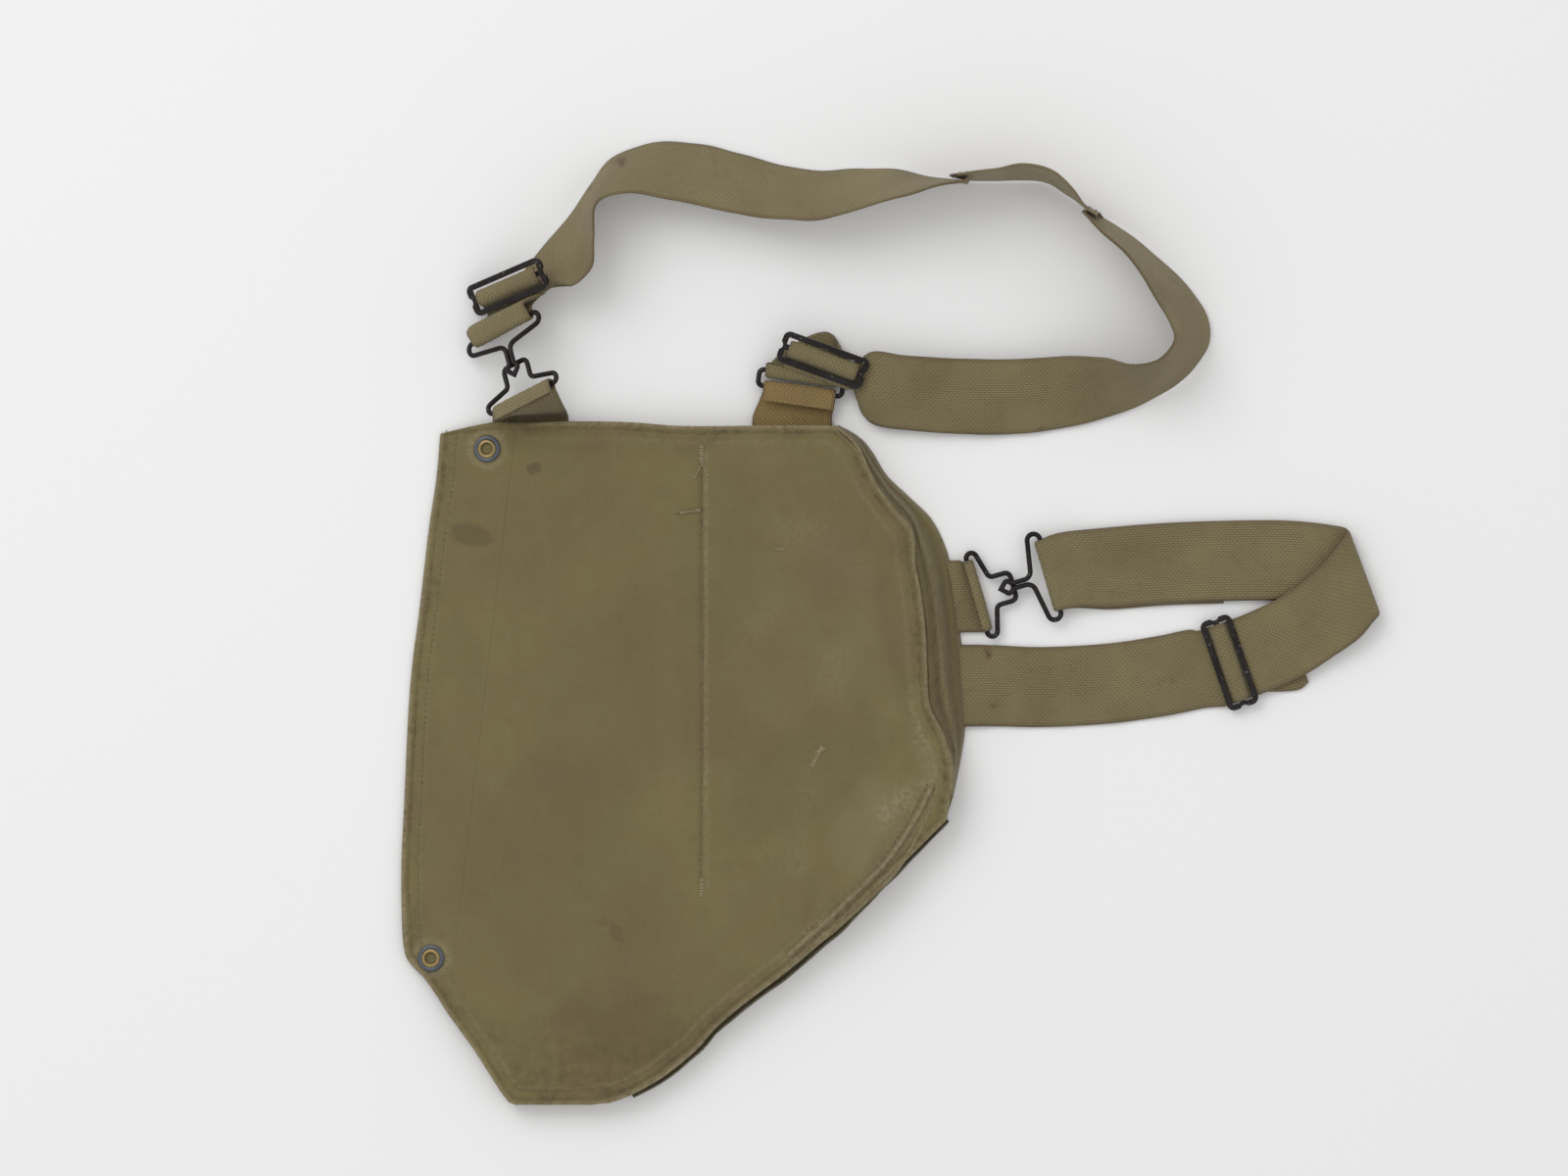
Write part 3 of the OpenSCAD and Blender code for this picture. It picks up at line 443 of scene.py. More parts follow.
class Shade:
    """Short calls for a material's nodes; lengths are in millimetres of the flat cloth."""

    def __init__(self, name, flat=True):
        self.mat = bpy.data.materials.new(name)
        self.mat.use_nodes = True
        self.t = self.mat.node_tree
        self.shader = next(n for n in self.t.nodes if n.type == "BSDF_PRINCIPLED")
        source = (add_node(self.t, "ShaderNodeUVMap", set_uv_map="flat").outputs[0] if flat
                  else add_node(self.t, "ShaderNodeTexCoord").outputs["Object"])
        self.p = add_node(self.t, "ShaderNodeVectorMath", set_operation="SCALE", i0=source,
                          Scale=1000.0).outputs[0]
        split = add_node(self.t, "ShaderNodeSeparateXYZ", i0=self.p)
        self.x, self.y = split.outputs[0], split.outputs[1]
        if flat:
            tone = add_node(self.t, "ShaderNodeAttribute", set_attribute_name="tone")
            parts = add_node(self.t, "ShaderNodeSeparateColor", i0=tone.outputs["Color"])
            # The second tone channel holds real dirt and painted shade.
            self.wear, self.dirt, self.rust = parts.outputs[0], parts.outputs[1], parts.outputs[2]

    def math(self, op, a, b=0.0, clamp=False):
        return add_node(self.t, "ShaderNodeMath", set_operation=op, set_use_clamp=clamp, i0=a,
                        i1=b).outputs[0]

    def mul(self, a, b):
        return self.math("MULTIPLY", a, b)

    def plus(self, a, b):
        return self.math("ADD", a, b)

    def noise(self, size, detail=3.0, rough=0.55, stretch=None):
        p = self.p if stretch is None else add_node(
            self.t, "ShaderNodeVectorMath", set_operation="MULTIPLY", i0=self.p, i1=stretch).outputs[0]
        return add_node(self.t, "ShaderNodeTexNoise", Vector=p, Scale=1.0 / size, Detail=detail,
                        Roughness=rough).outputs[0]

    def ramp(self, value, low, high):
        return add_node(self.t, "ShaderNodeMapRange", set_interpolation_type="SMOOTHSTEP", i0=value, i1=low,
                        i2=high).outputs[0]

    def mix(self, factor, a, b):
        node = self.t.nodes.new("ShaderNodeMix")
        node.data_type = "RGBA"
        for socket, value in ((node.inputs["Factor"], factor), (node.inputs[6], a), (node.inputs[7], b)):
            if isinstance(value, bpy.types.NodeSocket):
                self.t.links.new(value, socket)
            else:
                socket.default_value = value if isinstance(value, float) else (*value, 1.0)
        return node.outputs[2]

    def wave(self, value, pitch, phase=0.0):
        """Rounded threads from 0 to 1, a pitch apart."""
        scaled = self.mul(value, math.pi / pitch)
        if not isinstance(phase, float) or phase:
            scaled = self.plus(scaled, phase)
        return self.math("ABSOLUTE", self.math("SINE", scaled))

    def stain(self, colour, place, radius, turn, tint, amount, ragged=0.5):
        """Mixes a soft-edged patch into a colour."""
        cos, sin = math.cos(math.radians(turn)), math.sin(math.radians(turn))
        dx = self.math("SUBTRACT", self.x, float(place[0]))
        dy = self.math("SUBTRACT", self.y, float(place[1]))
        u = self.math("DIVIDE", self.plus(self.mul(dx, cos), self.mul(dy, sin)), float(radius[0]))
        v = self.math("DIVIDE", self.math("SUBTRACT", self.mul(dy, cos), self.mul(dx, sin)), float(radius[1]))
        d = self.math("SQRT", self.plus(self.mul(u, u), self.mul(v, v)))
        d = self.plus(d, self.mul(self.math("SUBTRACT", self.noise(max(3.0, min(radius) * 0.8)), 0.5),
                                  ragged * 2))
        mask = self.mul(self.math("SUBTRACT", 1.0, self.ramp(d, 0.55, 1.1)), amount)
        return self.mix(mask, colour, tint)

    def finish(self, colour, roughness, height=None, depth=0.1, strength=0.6, metallic=0.0, sheen=0.0):
        self.t.links.new(colour, self.shader.inputs["Base Color"])
        self.t.links.new(roughness, self.shader.inputs["Roughness"])
        self.shader.inputs["Metallic"].default_value = metallic
        self.shader.inputs["Sheen Weight"].default_value = sheen
        if height is not None:
            bump = add_node(self.t, "ShaderNodeBump", Strength=strength, Distance=depth * MM, Height=height)
            self.t.links.new(bump.outputs[0], self.shader.inputs["Normal"])
        return self.mat


RUST = (0.085, 0.030, 0.010)
DARK_STAIN = (0.045, 0.027, 0.011)
CANVAS_STAINS = [((-83, 163), (5, 4), 0, DARK_STAIN, 0.75),
                 ((-118.5, 126.5), (14, 7.5), -12, DARK_STAIN, 0.6),
                 ((-37, -94), (4, 8), 25, RUST, 0.6), ((-45, -88), (4, 3), 0, RUST, 0.5),
                 ((4, 139), (11, 1.7), 8, DARK_STAIN, 0.7), ((-124, 60), (15, 24), 10, DARK_STAIN, 0.2),
                 ((-30, 40), (80, 60), 20, (0.10, 0.062, 0.025), 0.34),
                 ((80, 80), (44, 60), 60, (0.13, 0.092, 0.048), 0.3),
                 ((-70, -60), (60, 80), 0, (0.09, 0.060, 0.022), 0.3),
                 ((-20, -150), (60, 26), -15, DARK_STAIN, 0.33),
                 ((105, -40), (26, 34), 40, (0.22, 0.18, 0.12), 0.26),
                 ((20, 110), (30, 60), 0, (0.08, 0.058, 0.024), 0.28),
                 ((-8, 20), (9, 70), 3, (0.20, 0.145, 0.07), 0.16),
                 ((60, -10), (60, 30), 30, (0.07, 0.055, 0.02), 0.26)]


def canvas_material(name, stains=(), darker=1.0):
    m = Shade(name)
    tint = lambda c: tuple(x * darker for x in c)
    colour = m.mix(m.ramp(m.noise(85, 3.0), 0.36, 0.62), tint((0.128, 0.095, 0.034)),
                   tint((0.150, 0.126, 0.040)))
    colour = m.mix(m.mul(m.ramp(m.noise(22, 5.0, 0.62), 0.45, 0.72), 0.45), colour,
                   tint((0.098, 0.070, 0.026)))
    colour = m.mix(m.mul(m.ramp(m.noise(9, 5.0, 0.7, (1.0, 0.45, 1.0)), 0.52, 0.78), 0.30), colour,
                   tint((0.205, 0.165, 0.088)))
    for place, radius, turn, stain, amount in stains:
        colour = m.stain(colour, place, radius, turn, stain, amount)
    warp = m.wave(m.x, 0.62)
    weft = m.wave(m.y, 0.74)
    slub = m.noise(1.0, 2.0, 0.6, (0.16, 2.2, 1.0))
    slub_up = m.noise(1.0, 2.0, 0.6, (2.2, 0.16, 1.0))
    cloth = m.plus(m.mul(m.plus(warp, weft), 0.34), m.mul(m.plus(slub, slub_up), 0.34))
    colour = m.mix(m.mul(m.ramp(cloth, 0.42, 0.86), 0.42), colour, tint((0.225, 0.182, 0.086)))
    # The second tone channel darkens the cloth, both with dirt and with painted shade in hollows and under
    # overhangs.
    colour = m.mix(m.mul(m.dirt, m.ramp(m.noise(5, 4.0), 0.25, 0.75)), colour, tint((0.052, 0.036, 0.014)))
    worn = m.mul(m.wear, m.ramp(m.noise(3.2, 4.0, 0.65), 0.30, 0.62))
    colour = m.mix(m.mul(worn, 0.75), colour, (0.310, 0.262, 0.165))
    rough = m.plus(0.80, m.mul(m.noise(14), 0.16))
    height = m.plus(cloth, m.mul(m.noise(4.5, 3.0), 1.1))
    return m.finish(colour, rough, height, 0.22, 0.75, sheen=0.12)


def webbing_material(name, light, dark, edge):
    m = Shade(name)
    pitch_v, pitch_u = 1.32, 2.5
    row = m.math("DIVIDE", m.y, pitch_v)
    odd = m.mul(m.math("FLOORED_MODULO", m.math("FLOOR", row), 2.0), math.pi / 2)
    warp = m.wave(m.y, pitch_v)
    pick = m.wave(m.x, pitch_u, odd)
    yarn = m.mul(m.math("POWER", warp, 0.6), m.math("POWER", pick, 0.45))
    colour = m.mix(m.ramp(m.noise(46, 3.0), 0.32, 0.68), light, tuple(0.86 * x for x in light))
    colour = m.mix(m.mul(m.ramp(m.noise(6, 5.0, 0.65), 0.5, 0.8), 0.35), colour, dark)
    fibre = m.noise(0.8, 3.0, 0.6, (0.25, 1.6, 1.0))
    colour = m.mix(m.mul(m.math("SUBTRACT", 1.0, m.ramp(yarn, 0.10, 0.72)), 0.80), colour, dark)
    colour = m.mix(m.mul(m.ramp(fibre, 0.52, 0.8), 0.35), colour, tuple(min(1.0, 1.35 * x) for x in light))
    # The edge colour comes in through the second tone channel: painted shade at the webbing's edges, and
    # dirt.
    colour = m.mix(m.mul(m.dirt, 0.72), colour, edge)
    colour = m.mix(m.mul(m.wear, 0.4), colour, tuple(min(1.0, 1.3 * x) for x in light))
    colour = m.mix(m.mul(m.rust, m.ramp(m.noise(2.6, 4.0), 0.28, 0.6)), colour, RUST)
    rough = m.plus(0.76, m.mul(fibre, 0.2))
    height = m.plus(yarn, m.mul(fibre, 0.25))
    return m.finish(colour, rough, height, 0.42, 0.9, sheen=0.1)


def thread_material(name, light, dark):
    m = Shade(name)
    colour = m.mix(m.ramp(m.noise(7, 3.0), 0.3, 0.7), light, dark)
    twist = m.wave(m.plus(m.mul(m.x, 1.0), m.mul(m.y, 1.6)), 0.42)
    colour = m.mix(m.mul(twist, 0.35), colour, tuple(min(1.0, 1.5 * x) for x in light))
    return m.finish(colour, m.plus(0.7, m.mul(twist, 0.15)), twist, 0.08, 0.6, sheen=0.1)


def metal_material(name, base, worn, rust, wear=0.5, rough=0.42, size=7.0):
    m = Shade(name, flat=False)
    patch = m.ramp(m.noise(size, 5.0, 0.66), 0.52, 0.70)
    scratch = m.ramp(m.noise(1.1, 3.0, 0.6, (1.0, 0.2, 1.0)), 0.60, 0.76)
    bare = m.mul(m.math("MAXIMUM", m.mul(patch, scratch), m.mul(m.ramp(m.noise(2.2, 4.0), 0.63, 0.74), 0.7)),
                 wear)
    colour = m.mix(m.ramp(m.noise(18), 0.35, 0.65), base, tuple(1.5 * x for x in base))
    colour = m.mix(bare, colour, worn)
    colour = m.mix(m.mul(m.ramp(m.noise(4.0, 5.0, 0.7), 0.60, 0.74), 0.55), colour, rust)
    r = m.plus(rough, m.mul(m.math("SUBTRACT", m.noise(3.0, 4.0), 0.5), 0.35))
    return m.finish(colour, r, m.noise(1.6, 4.0, 0.6), 0.10, 0.4, metallic=0.85)


canvas = canvas_material("worn_olive_canvas", CANVAS_STAINS)
canvas_plain = canvas_material("olive_canvas_inside", (), 0.92)
canvas_dark = canvas_material("shaded_gusset_canvas", (), 0.84)
webbing = webbing_material("olive_webbing", (0.238, 0.196, 0.094), (0.098, 0.074, 0.032),
                           (0.115, 0.075, 0.035))
webbing_pale = webbing_material("pale_webbing", (0.300, 0.255, 0.140), (0.140, 0.110, 0.055),
                                (0.14, 0.10, 0.05))
webbing_tan = webbing_material("tan_webbing", (0.300, 0.205, 0.072), (0.125, 0.075, 0.026),
                               (0.11, 0.062, 0.024))
thread = thread_material("olive_thread", (0.20, 0.160, 0.075), (0.115, 0.085, 0.036))
thread_pale = thread_material("pale_thread", (0.34, 0.285, 0.165), (0.22, 0.175, 0.09))
thread_brown = thread_material("brown_thread", (0.095, 0.050, 0.022), (0.052, 0.026, 0.012))
binding_cloth = canvas_material("brown_binding", (), 0.42)
steel = metal_material("blackened_steel_worn", (0.020, 0.017, 0.017), (0.42, 0.39, 0.36),
                       (0.075, 0.030, 0.014))
slide_steel = metal_material("slide_steel_worn", (0.022, 0.019, 0.019), (0.50, 0.47, 0.44),
                             (0.085, 0.034, 0.016), 0.9)
flange_steel = metal_material("snap_flange", (0.075, 0.085, 0.095), (0.26, 0.26, 0.26), (0.10, 0.070, 0.035),
                              0.5, 0.5, 4.0)
brass = metal_material("worn_brass", (0.23, 0.17, 0.075), (0.50, 0.38, 0.19), (0.07, 0.045, 0.022), 0.6, 0.40,
                       3.0)


# ---- the bag's cloth ----

def from_mouth(x, y):
    dx, dy = x - MOUTH_TOP[0], y - MOUTH_TOP[1]
    return dx * MOUTH_X[0] + dy * MOUTH_X[1], dx * MOUTH_Y[0] + dy * MOUTH_Y[1]


OUTLINE = FLAP_EDGE + LOWER_EDGE + FOLD_EDGE + TOP_EDGE
DOG_EAR = [(138, -12), (128, -32), (112, -56), (98, -70), (78, -90), (58, -108)]
# Soft folds: line of points, height, half width
FOLDS = [([(112, 96), (123, 53), (128, 20), (136, -4)], -1.7, 6),
         ([(104, 75), (117, 28), (126, 8), (132, -9)], 1.5, 8),
         ([(88, -22), (109, -28), (131, -12)], -1.6, 7),
         ([(125, -12), (110, -38), (98, -60), (82, -79)], 1.8, 6),
         ([(71, -66), (88, -44), (112, -27)], 1.0, 10), ([(34, -88), (55, -69), (82, -50)], -0.8, 12),
         ([(-75, 167), (-86, 86), (-88, 10)], 0.7, 17),
         ([(-26, 172), (-23, 96), (-27, 10), (-20, -66)], -0.6, 13),
         ([(39, 167), (44, 96), (41, 30)], 0.7, 18), ([(83, 162), (92, 118), (99, 75)], -1.0, 9),
         ([(-145, -66), (-124, -120), (-97, -168)], 0.5, 8),
         ([(-53, -164), (-10, -170), (12, -148)], -0.8, 8),
         ([(-75, -120), (-31, -126), (12, -110)], 0.5, 13),
         ([(55, 167), (77, 140), (99, 96), (110, 53)], 0.8, 8),
         ([(100, 30), (118, -10), (121, -30)], -1.2, 5), ([(-150, 40), (-147, 0), (-151, -40)], -0.5, 9),
         ([(92, 60), (96, 20), (90, -20)], 0.8, 9), ([(18, 150), (14, 60), (18, -60)], 0.5, 8),
         ([(60, -40), (74, -62), (70, -86)], -0.9, 6), ([(-60, 186), (-58, 150), (-64, 110)], -0.5, 9)]


def front_top(x, y):
    """Height of the front cloth's upper face, in millimetres."""
    x, y = np.asarray(x, float), np.asarray(y, float)
    xp, yp = from_mouth(x, y)
    level = FRONT_Z + CANVAS_T + math.tan(FRONT_TILT) * xp
    slope = FRONT_Z + CANVAS_T + math.tan(FLAP_SLOPE) * xp
    soft = 1.6
    z = -soft * np.logaddexp(-level / soft, -slope / soft)
    body = smoothstep(xp, -26, 22)
    edge = distance(x, y, OUTLINE)
    z = (z + (0.35 + 0.65 * body) * (0.55 * rumple(x, y, 95, 0) + 0.28 * rumple(x, y, 38, 6))
         + 0.12 * rumple(x, y, 15, 12))
    for line, height, width in FOLDS:
        z = z + height * np.exp(-(distance(x, y, line) / width) ** 2) * (0.45 + 0.55 * body)
    hem = (1 - smoothstep(edge, 8.2, 9.6)) * (1 - smoothstep(x, 90, 110) * smoothstep(y, -60, -30))
    z = z + 0.42 * hem - 0.42 * np.exp(-((edge - 3.3) / 0.7) ** 2) * hem
    z = (z - 0.75 * np.exp(-(np.abs(x - 10 - 0.6 * rumple(y, y * 0, 50, 2)) / 2.0) ** 2)
         * smoothstep(y, -74, -60) * (1 - smoothstep(y, 168, 178)))
    ring = np.hypot(x - 52.7, y - 115.7)
    z = z - 0.45 * np.exp(-((ring - 4.6) / 1.1) ** 2)
    for sx, sy in SNAPS:
        cx, cy = MOUTH_TOP + sx * math.cos(FLAP_SLOPE) * MOUTH_X + sy * MOUTH_Y
        r = np.hypot(x - cx, y - cy)
        flat = 1 - smoothstep(r, 9, 17)
        ideal = FRONT_Z + CANVAS_T + math.tan(FLAP_SLOPE) * xp - 0.25
        z = z * (1 - flat) + ideal * flat - 0.35 * np.exp(-((r - 10.5) / 2.2) ** 2)
    return np.maximum(z, 1.75)


def chain(points, y):
    """x of a line of points at heights y, whichever way it runs."""
    p = np.array(points, float)
    if p[0, 1] > p[-1, 1]:
        p = p[::-1]
    return np.interp(y, p[:, 1], p[:, 0])


LEFT_SIDE = [(-84, TOP_Y)] + FLAP_EDGE + LOWER_EDGE[:6]
RIGHT_SIDE = LOWER_EDGE[6:] + FOLD_EDGE


def left_x(y):
    flap = curve(np.array(FLAP_EDGE[1:] + LOWER_EDGE[:3], float), 3.0)
    return np.where(y > 185, np.interp(y, [185, 186.6, TOP_Y], [-134.7, -120, -107]),
                    chain([tuple(p) for p in flap] + LOWER_EDGE[3:6], y))


def right_x(y, edge=FOLD_EDGE):
    low = curve(LOWER_EDGE[6:], 3.0)
    high = curve(edge, 3.0)
    return np.where(y < -18, chain([tuple(p) for p in low] + [tuple(high[0])], y),
                    chain([tuple(p) for p in high], y))


def top_limit(x):
    line = curve(np.array([(-140, 184.6), (-134.7, 185), (-107, TOP_Y), (-84, TOP_Y), (-64, TOP_Y + 0.5),
                           (-30, TOP_Y), (-4, TOP_Y - 2),
                           (44, TOP_Y - 2), (84, TOP_Y - 2), (99, TOP_Y - 3)], float), 4.0)
    return np.interp(x, line[:, 0], line[:, 1])


def cloth_tone(x, y, edge):
    xp, yp = from_mouth(x, y)
    wear = 0.85 * np.exp(-(edge / 1.3) ** 2) + 0.30 * np.exp(-((edge - 9.2) / 1.2) ** 2)
    wear = wear + 0.55 * np.exp(-(distance(x, y, DOG_EAR) / 3.2) ** 2)
    wear = wear + 0.45 * np.exp(-(distance(x, y, [(128, 20), (136, -4), (131, -12), (112, -27)]) / 5) ** 2)
    wear = wear + 0.28 * np.clip(rumple(x, y, 60, 9), 0, 1) * smoothstep(x, -20, 90)
    wear = wear + 0.5 * np.exp(-(np.abs(x - 12.2) / 1.0) ** 2) * (y > -69) * (y < 173)
    for cx, cy in ((-109.1, 173.8), (-140.1, -108.1)):
        wear = wear + 0.5 * np.exp(-((np.hypot(x - cx, y - cy) - 9.5) / 1.8) ** 2)
    dirt = 0.42 * (1 - smoothstep(edge, 0, 20)) * np.clip(0.4 + rumple(x, y, 34, 4), 0, 1)
    # Darker along the line 3.3 mm in from the outline and towards the bottom.
    dirt = (dirt + 0.5 * np.exp(-((edge - 3.3) / 0.8) ** 2)
            + 0.35 * (1 - smoothstep(y, -185, -120)) * smoothstep(edge, 2, 10))
    dirt = dirt + 0.55 * np.exp(-(np.abs(x - 10) / 0.9) ** 2) * (y > -69) * (y < 173)
    return np.stack([np.clip(wear, 0, 1), np.clip(dirt, 0, 1), np.zeros_like(x)], axis=-1)


def cloth_grid(rows_y, left, right, cols):
    t = np.linspace(0, 1, cols)
    x = left[:, None] * (1 - t) + right[:, None] * t
    y = np.broadcast_to(rows_y[:, None], x.shape).copy()
    limit = top_limit(x)
    y = y + (limit - TOP_Y) * smoothstep(y, TOP_Y - 40, TOP_Y)
    z = front_top(x, y)
    edge = distance(x, y, OUTLINE)
    return np.stack([x, y, z], axis=-1), cloth_tone(x, y, edge)


def mouth_x(y, offset):
    rise = y - MOUTH_TOP[1] - offset * MOUTH_X[1]
    return MOUTH_TOP[0] + offset * MOUTH_X[0] + rise * MOUTH_Y[0] / MOUTH_Y[1]


def cloth_piece(name, heights, left, right, cols, nodes):
    """A sheet between two side lines, at the given heights."""
    grid, tone = cloth_grid(heights, left, right, cols)
    batch = Batch()
    add_sheet(batch, grid, CANVAS_T, grid[..., :2], tone)
    obj = batch.build(name, canvas, replaces=nodes, slot="canvas")
    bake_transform(obj)


SEAM_X = -4.0                     # where the flap's cloth meets the front's, on the mouth fold
rows = np.concatenate([[-DEPTH + 0.4], np.arange(-187.5, TOP_Y - 1, 1.9), [TOP_Y]])
seam = mouth_x(rows, SEAM_X)
front_left = np.where(rows > -143, np.maximum(seam, left_x(rows)), left_x(rows))
cloth_piece("front_cloth", rows, front_left, right_x(rows), 150, ("front_panel", "mouth_fold"))
flap_rows = rows[rows > -141]
flap_right = np.maximum(mouth_x(flap_rows, SEAM_X), left_x(flap_rows) + 0.4)
cloth_piece("flap_cloth", flap_rows, left_x(flap_rows), flap_right, 34, ("flap_panel", "flap_hem"))


def offset_line(points, inset, step=2.0):
    p = curve(points, step)
    return p + to_left(p) * inset


def on_cloth(line, lift=0.0):
    return np.column_stack([line, front_top(line[:, 0], line[:, 1]) + lift])


STITCH_IN, HEM_IN, FLAP_HEM_IN, FOLD_IN = 3.3, 8.6, 8.8, 2.6
THREAD_R = 0.28
DIVIDER_X = 10.0

# Stitching on the front and the flap
batch_front, batch_flap = Batch(), Batch()
top_line = np.array([(x, float(top_limit(x)) - STITCH_IN) for x in np.arange(82, -90, -2.0)])
add_stitches(batch_front, on_cloth(top_line), r=THREAD_R)
for inset in (STITCH_IN, HEM_IN):
    low_line = offset_line(LOWER_EDGE[3:9], inset)
    add_stitches(batch_front, on_cloth(low_line), r=THREAD_R)
add_stitches(batch_front, on_cloth(offset_line(LOWER_EDGE[8:17], STITCH_IN)), r=THREAD_R)
add_stitches(batch_front, on_cloth(offset_line(FOLD_EDGE[1:], FOLD_IN)), r=THREAD_R)
line = np.array([(9.6 + 0.5 * math.sin(y / 31), y) for y in np.arange(172, -69, -2.0)])
add_stitches(batch_front, on_cloth(line, 0.1), pitch=3.6, length=2.9, r=0.36)
for inset in (STITCH_IN, FLAP_HEM_IN):
    line = offset_line(FLAP_EDGE[1:9], inset)
    add_stitches(batch_flap, on_cloth(line), r=THREAD_R)
    line = offset_line(FLAP_EDGE[8:] + LOWER_EDGE[:1], inset)
    xp = from_mouth(line[:, 0], line[:, 1])[0]
    add_stitches(batch_flap, on_cloth(line[xp < -11]), r=THREAD_R)
flap_top = np.array([(x, float(top_limit(x)) - STITCH_IN) for x in np.arange(-101, -132, -2.0)])
add_stitches(batch_flap, on_cloth(flap_top), r=THREAD_R)
batch_front.build("front_stitching", thread, "bag", slot="seam_thread")
batch_flap.build("flap_stitching", thread, "flap", slot="seam_thread")

# Sewn tacks, each a small pad of close threads
batch = Batch()
for x, y, turn, length, width in ((10, 172, 90, 10, 3), (10, -68, 88, 11, 3.2), (74, 4, 62, 13, 3.2),
                                  (76, 7, 20, 7, 2),
                                  (53, 118, 0, 6, 1.8), (4, 139, 8, 12, 1.8), (11, 164, 118, 12, 1.6),
                                  (9, 163, 62, 12, 1.6)):
    c, s = math.cos(math.radians(turn)), math.sin(math.radians(turn))
    for k in range(int(length / 0.8)):
        a = -length / 2 + 0.8 * k + rng.uniform(-0.15, 0.15)
        h = width / 2 * rng.uniform(0.8, 1.15)
        line = np.array([(x + a * c - b * s, y + a * s + b * c) for b in (-h, -h / 2, h / 2, h)])
        p = on_cloth(line)
        p[:, 2] += (-0.2, 0.4, 0.4, -0.2)
        add_tube(batch, p, 0.3, 5)
batch.build("sewn_tacks", thread_pale, "bag", replaces=("bar_tacks",), slot="seam_thread")

# Gusset: folded cloth from the front's edge down to the back panel
f_curve = curve(np.column_stack([np.array(FOLD_EDGE, float), np.array(BACK_EDGE, float)]), 2.0)
f_xy, b_xy = f_curve[:, :2], f_curve[:, 2:]
t = np.linspace(0, 1, 26)
run = run_along(f_xy)
gusset_w = np.linalg.norm(b_xy - f_xy, axis=1)
z_fold = front_top(f_xy[:, 0], f_xy[:, 1]) - 0.5
out = unit(b_xy - f_xy)
ease = smoothstep(run, 0, 30) * (1 - smoothstep(run, run[-1] - 25, run[-1]))
xy = f_xy[:, None] + (b_xy - f_xy)[:, None] * (0.10 + 0.90 * t[None, :, None] ** 0.92)
xy = xy - out[:, None] * 1.2 * (1 - t[None, :, None])
drop = 1 - t ** 1.25
z = 1.9 + (z_fold[:, None] - 2.6) * drop[None, :]
tt, rr = np.meshgrid(t, run)
z = z + ease[:, None] * (1.5 * np.exp(-((tt - 0.42 - 0.08 * np.sin(rr / 23)) / 0.10) ** 2)
                         - 1.6 * np.exp(-((tt - 0.24 - 0.05 * np.sin(rr / 19)) / 0.09) ** 2)
                        - 1.2 * np.exp(-((tt - 0.66 + 0.07 * np.sin(rr / 27)) / 0.10) ** 2)
                        + 0.8 * np.exp(-((tt - 0.84) / 0.07) ** 2))
z = z + 0.5 * ease[:, None] * rumple(xy[..., 0], xy[..., 1], 26, 3)
z = np.maximum(z, 1.75)
grid = np.concatenate([xy, z[..., None]], axis=-1)
tone = np.zeros(grid.shape)
tone[..., 0] = 0.35 * np.exp(-((tt - 0.42) / 0.12) ** 2) + 0.5 * np.exp(-((tt - 0.98) / 0.05) ** 2)
# Painted shade: the second tone channel darkens the hollows of the two folds and the strip under the front's
# overhanging fold.
tone[..., 1] = (0.55 * np.exp(-((tt - 0.24) / 0.12) ** 2) + 0.5 * (1 - smoothstep(tt, 0, 0.12))
                + 0.3 * np.exp(-((tt - 0.66) / 0.1) ** 2))
batch = Batch()
add_sheet(batch, grid[:, ::-1], 1.0,
          np.stack([rr[:, ::-1], (tt * gusset_w[:, None] * 1.3)[:, ::-1]], axis=-1), tone[:, ::-1])
batch.build("gusset_cloth", canvas_dark, "bag", replaces=("side_gusset",), slot="canvas")

# Piped seam along the front's right fold and the two ridges of the folded corner
batch = Batch()
seam_line = on_cloth(f_xy, -0.35)
add_tube(batch, seam_line, 1.05, 8, (0.55, 0.3, 0))
batch.build("fold_piping", canvas, "bag", slot="canvas")

batch = Batch()
ridge = curve(DOG_EAR, 2.0)
normal = -to_left(ridge)
if np.dot(normal[10], (1, -1)) < 0:
    normal = -normal
share = np.linspace(0, 1, len(ridge))
inner = ridge - normal * (0.5 + 1.2 * share[:, None])
outer = ridge + normal * (1.2 + 5.2 * np.sin(np.pi * np.clip(share * 0.85 + 0.08, 0, 1))[:, None])
add_tube(batch, on_cloth(inner, 0.9), 1.35, 8, (0.75, 0.1, 0))
low = on_cloth(outer, 0.0)
low[:, 2] = np.minimum(low[:, 2], front_top(inner[:, 0], inner[:, 1]) - 0.9)
add_tube(batch, low + (0, 0, 0.4), 1.15, 8, (0.6, 0.2, 0))
# Painted shade: the sheet's tone darkens the pleat's hollow under the folded corner's ridge.
pleat = np.stack([on_cloth(inner, 0.5), on_cloth((2 * inner + outer) / 3, -1.1),
                  (on_cloth((inner + outer) / 2, -1.6)), low], axis=1)
add_sheet(batch, pleat, 1.0, np.stack([np.broadcast_to(share[:, None] * 130, pleat.shape[:2]),
                                       np.broadcast_to(np.array([0, 3, 6, 9.0]), pleat.shape[:2])], axis=-1),
          (0.15, 0.55, 0.0))
add_stitches(batch, on_cloth(ridge - normal * (3.6 + 1.2 * share[:, None]), 0.0), r=THREAD_R,
             tone=(0.3, 0.2, 0))
batch.build("corner_pleat", canvas, "bag", replaces=("dog_ear_seam",), slot="canvas")

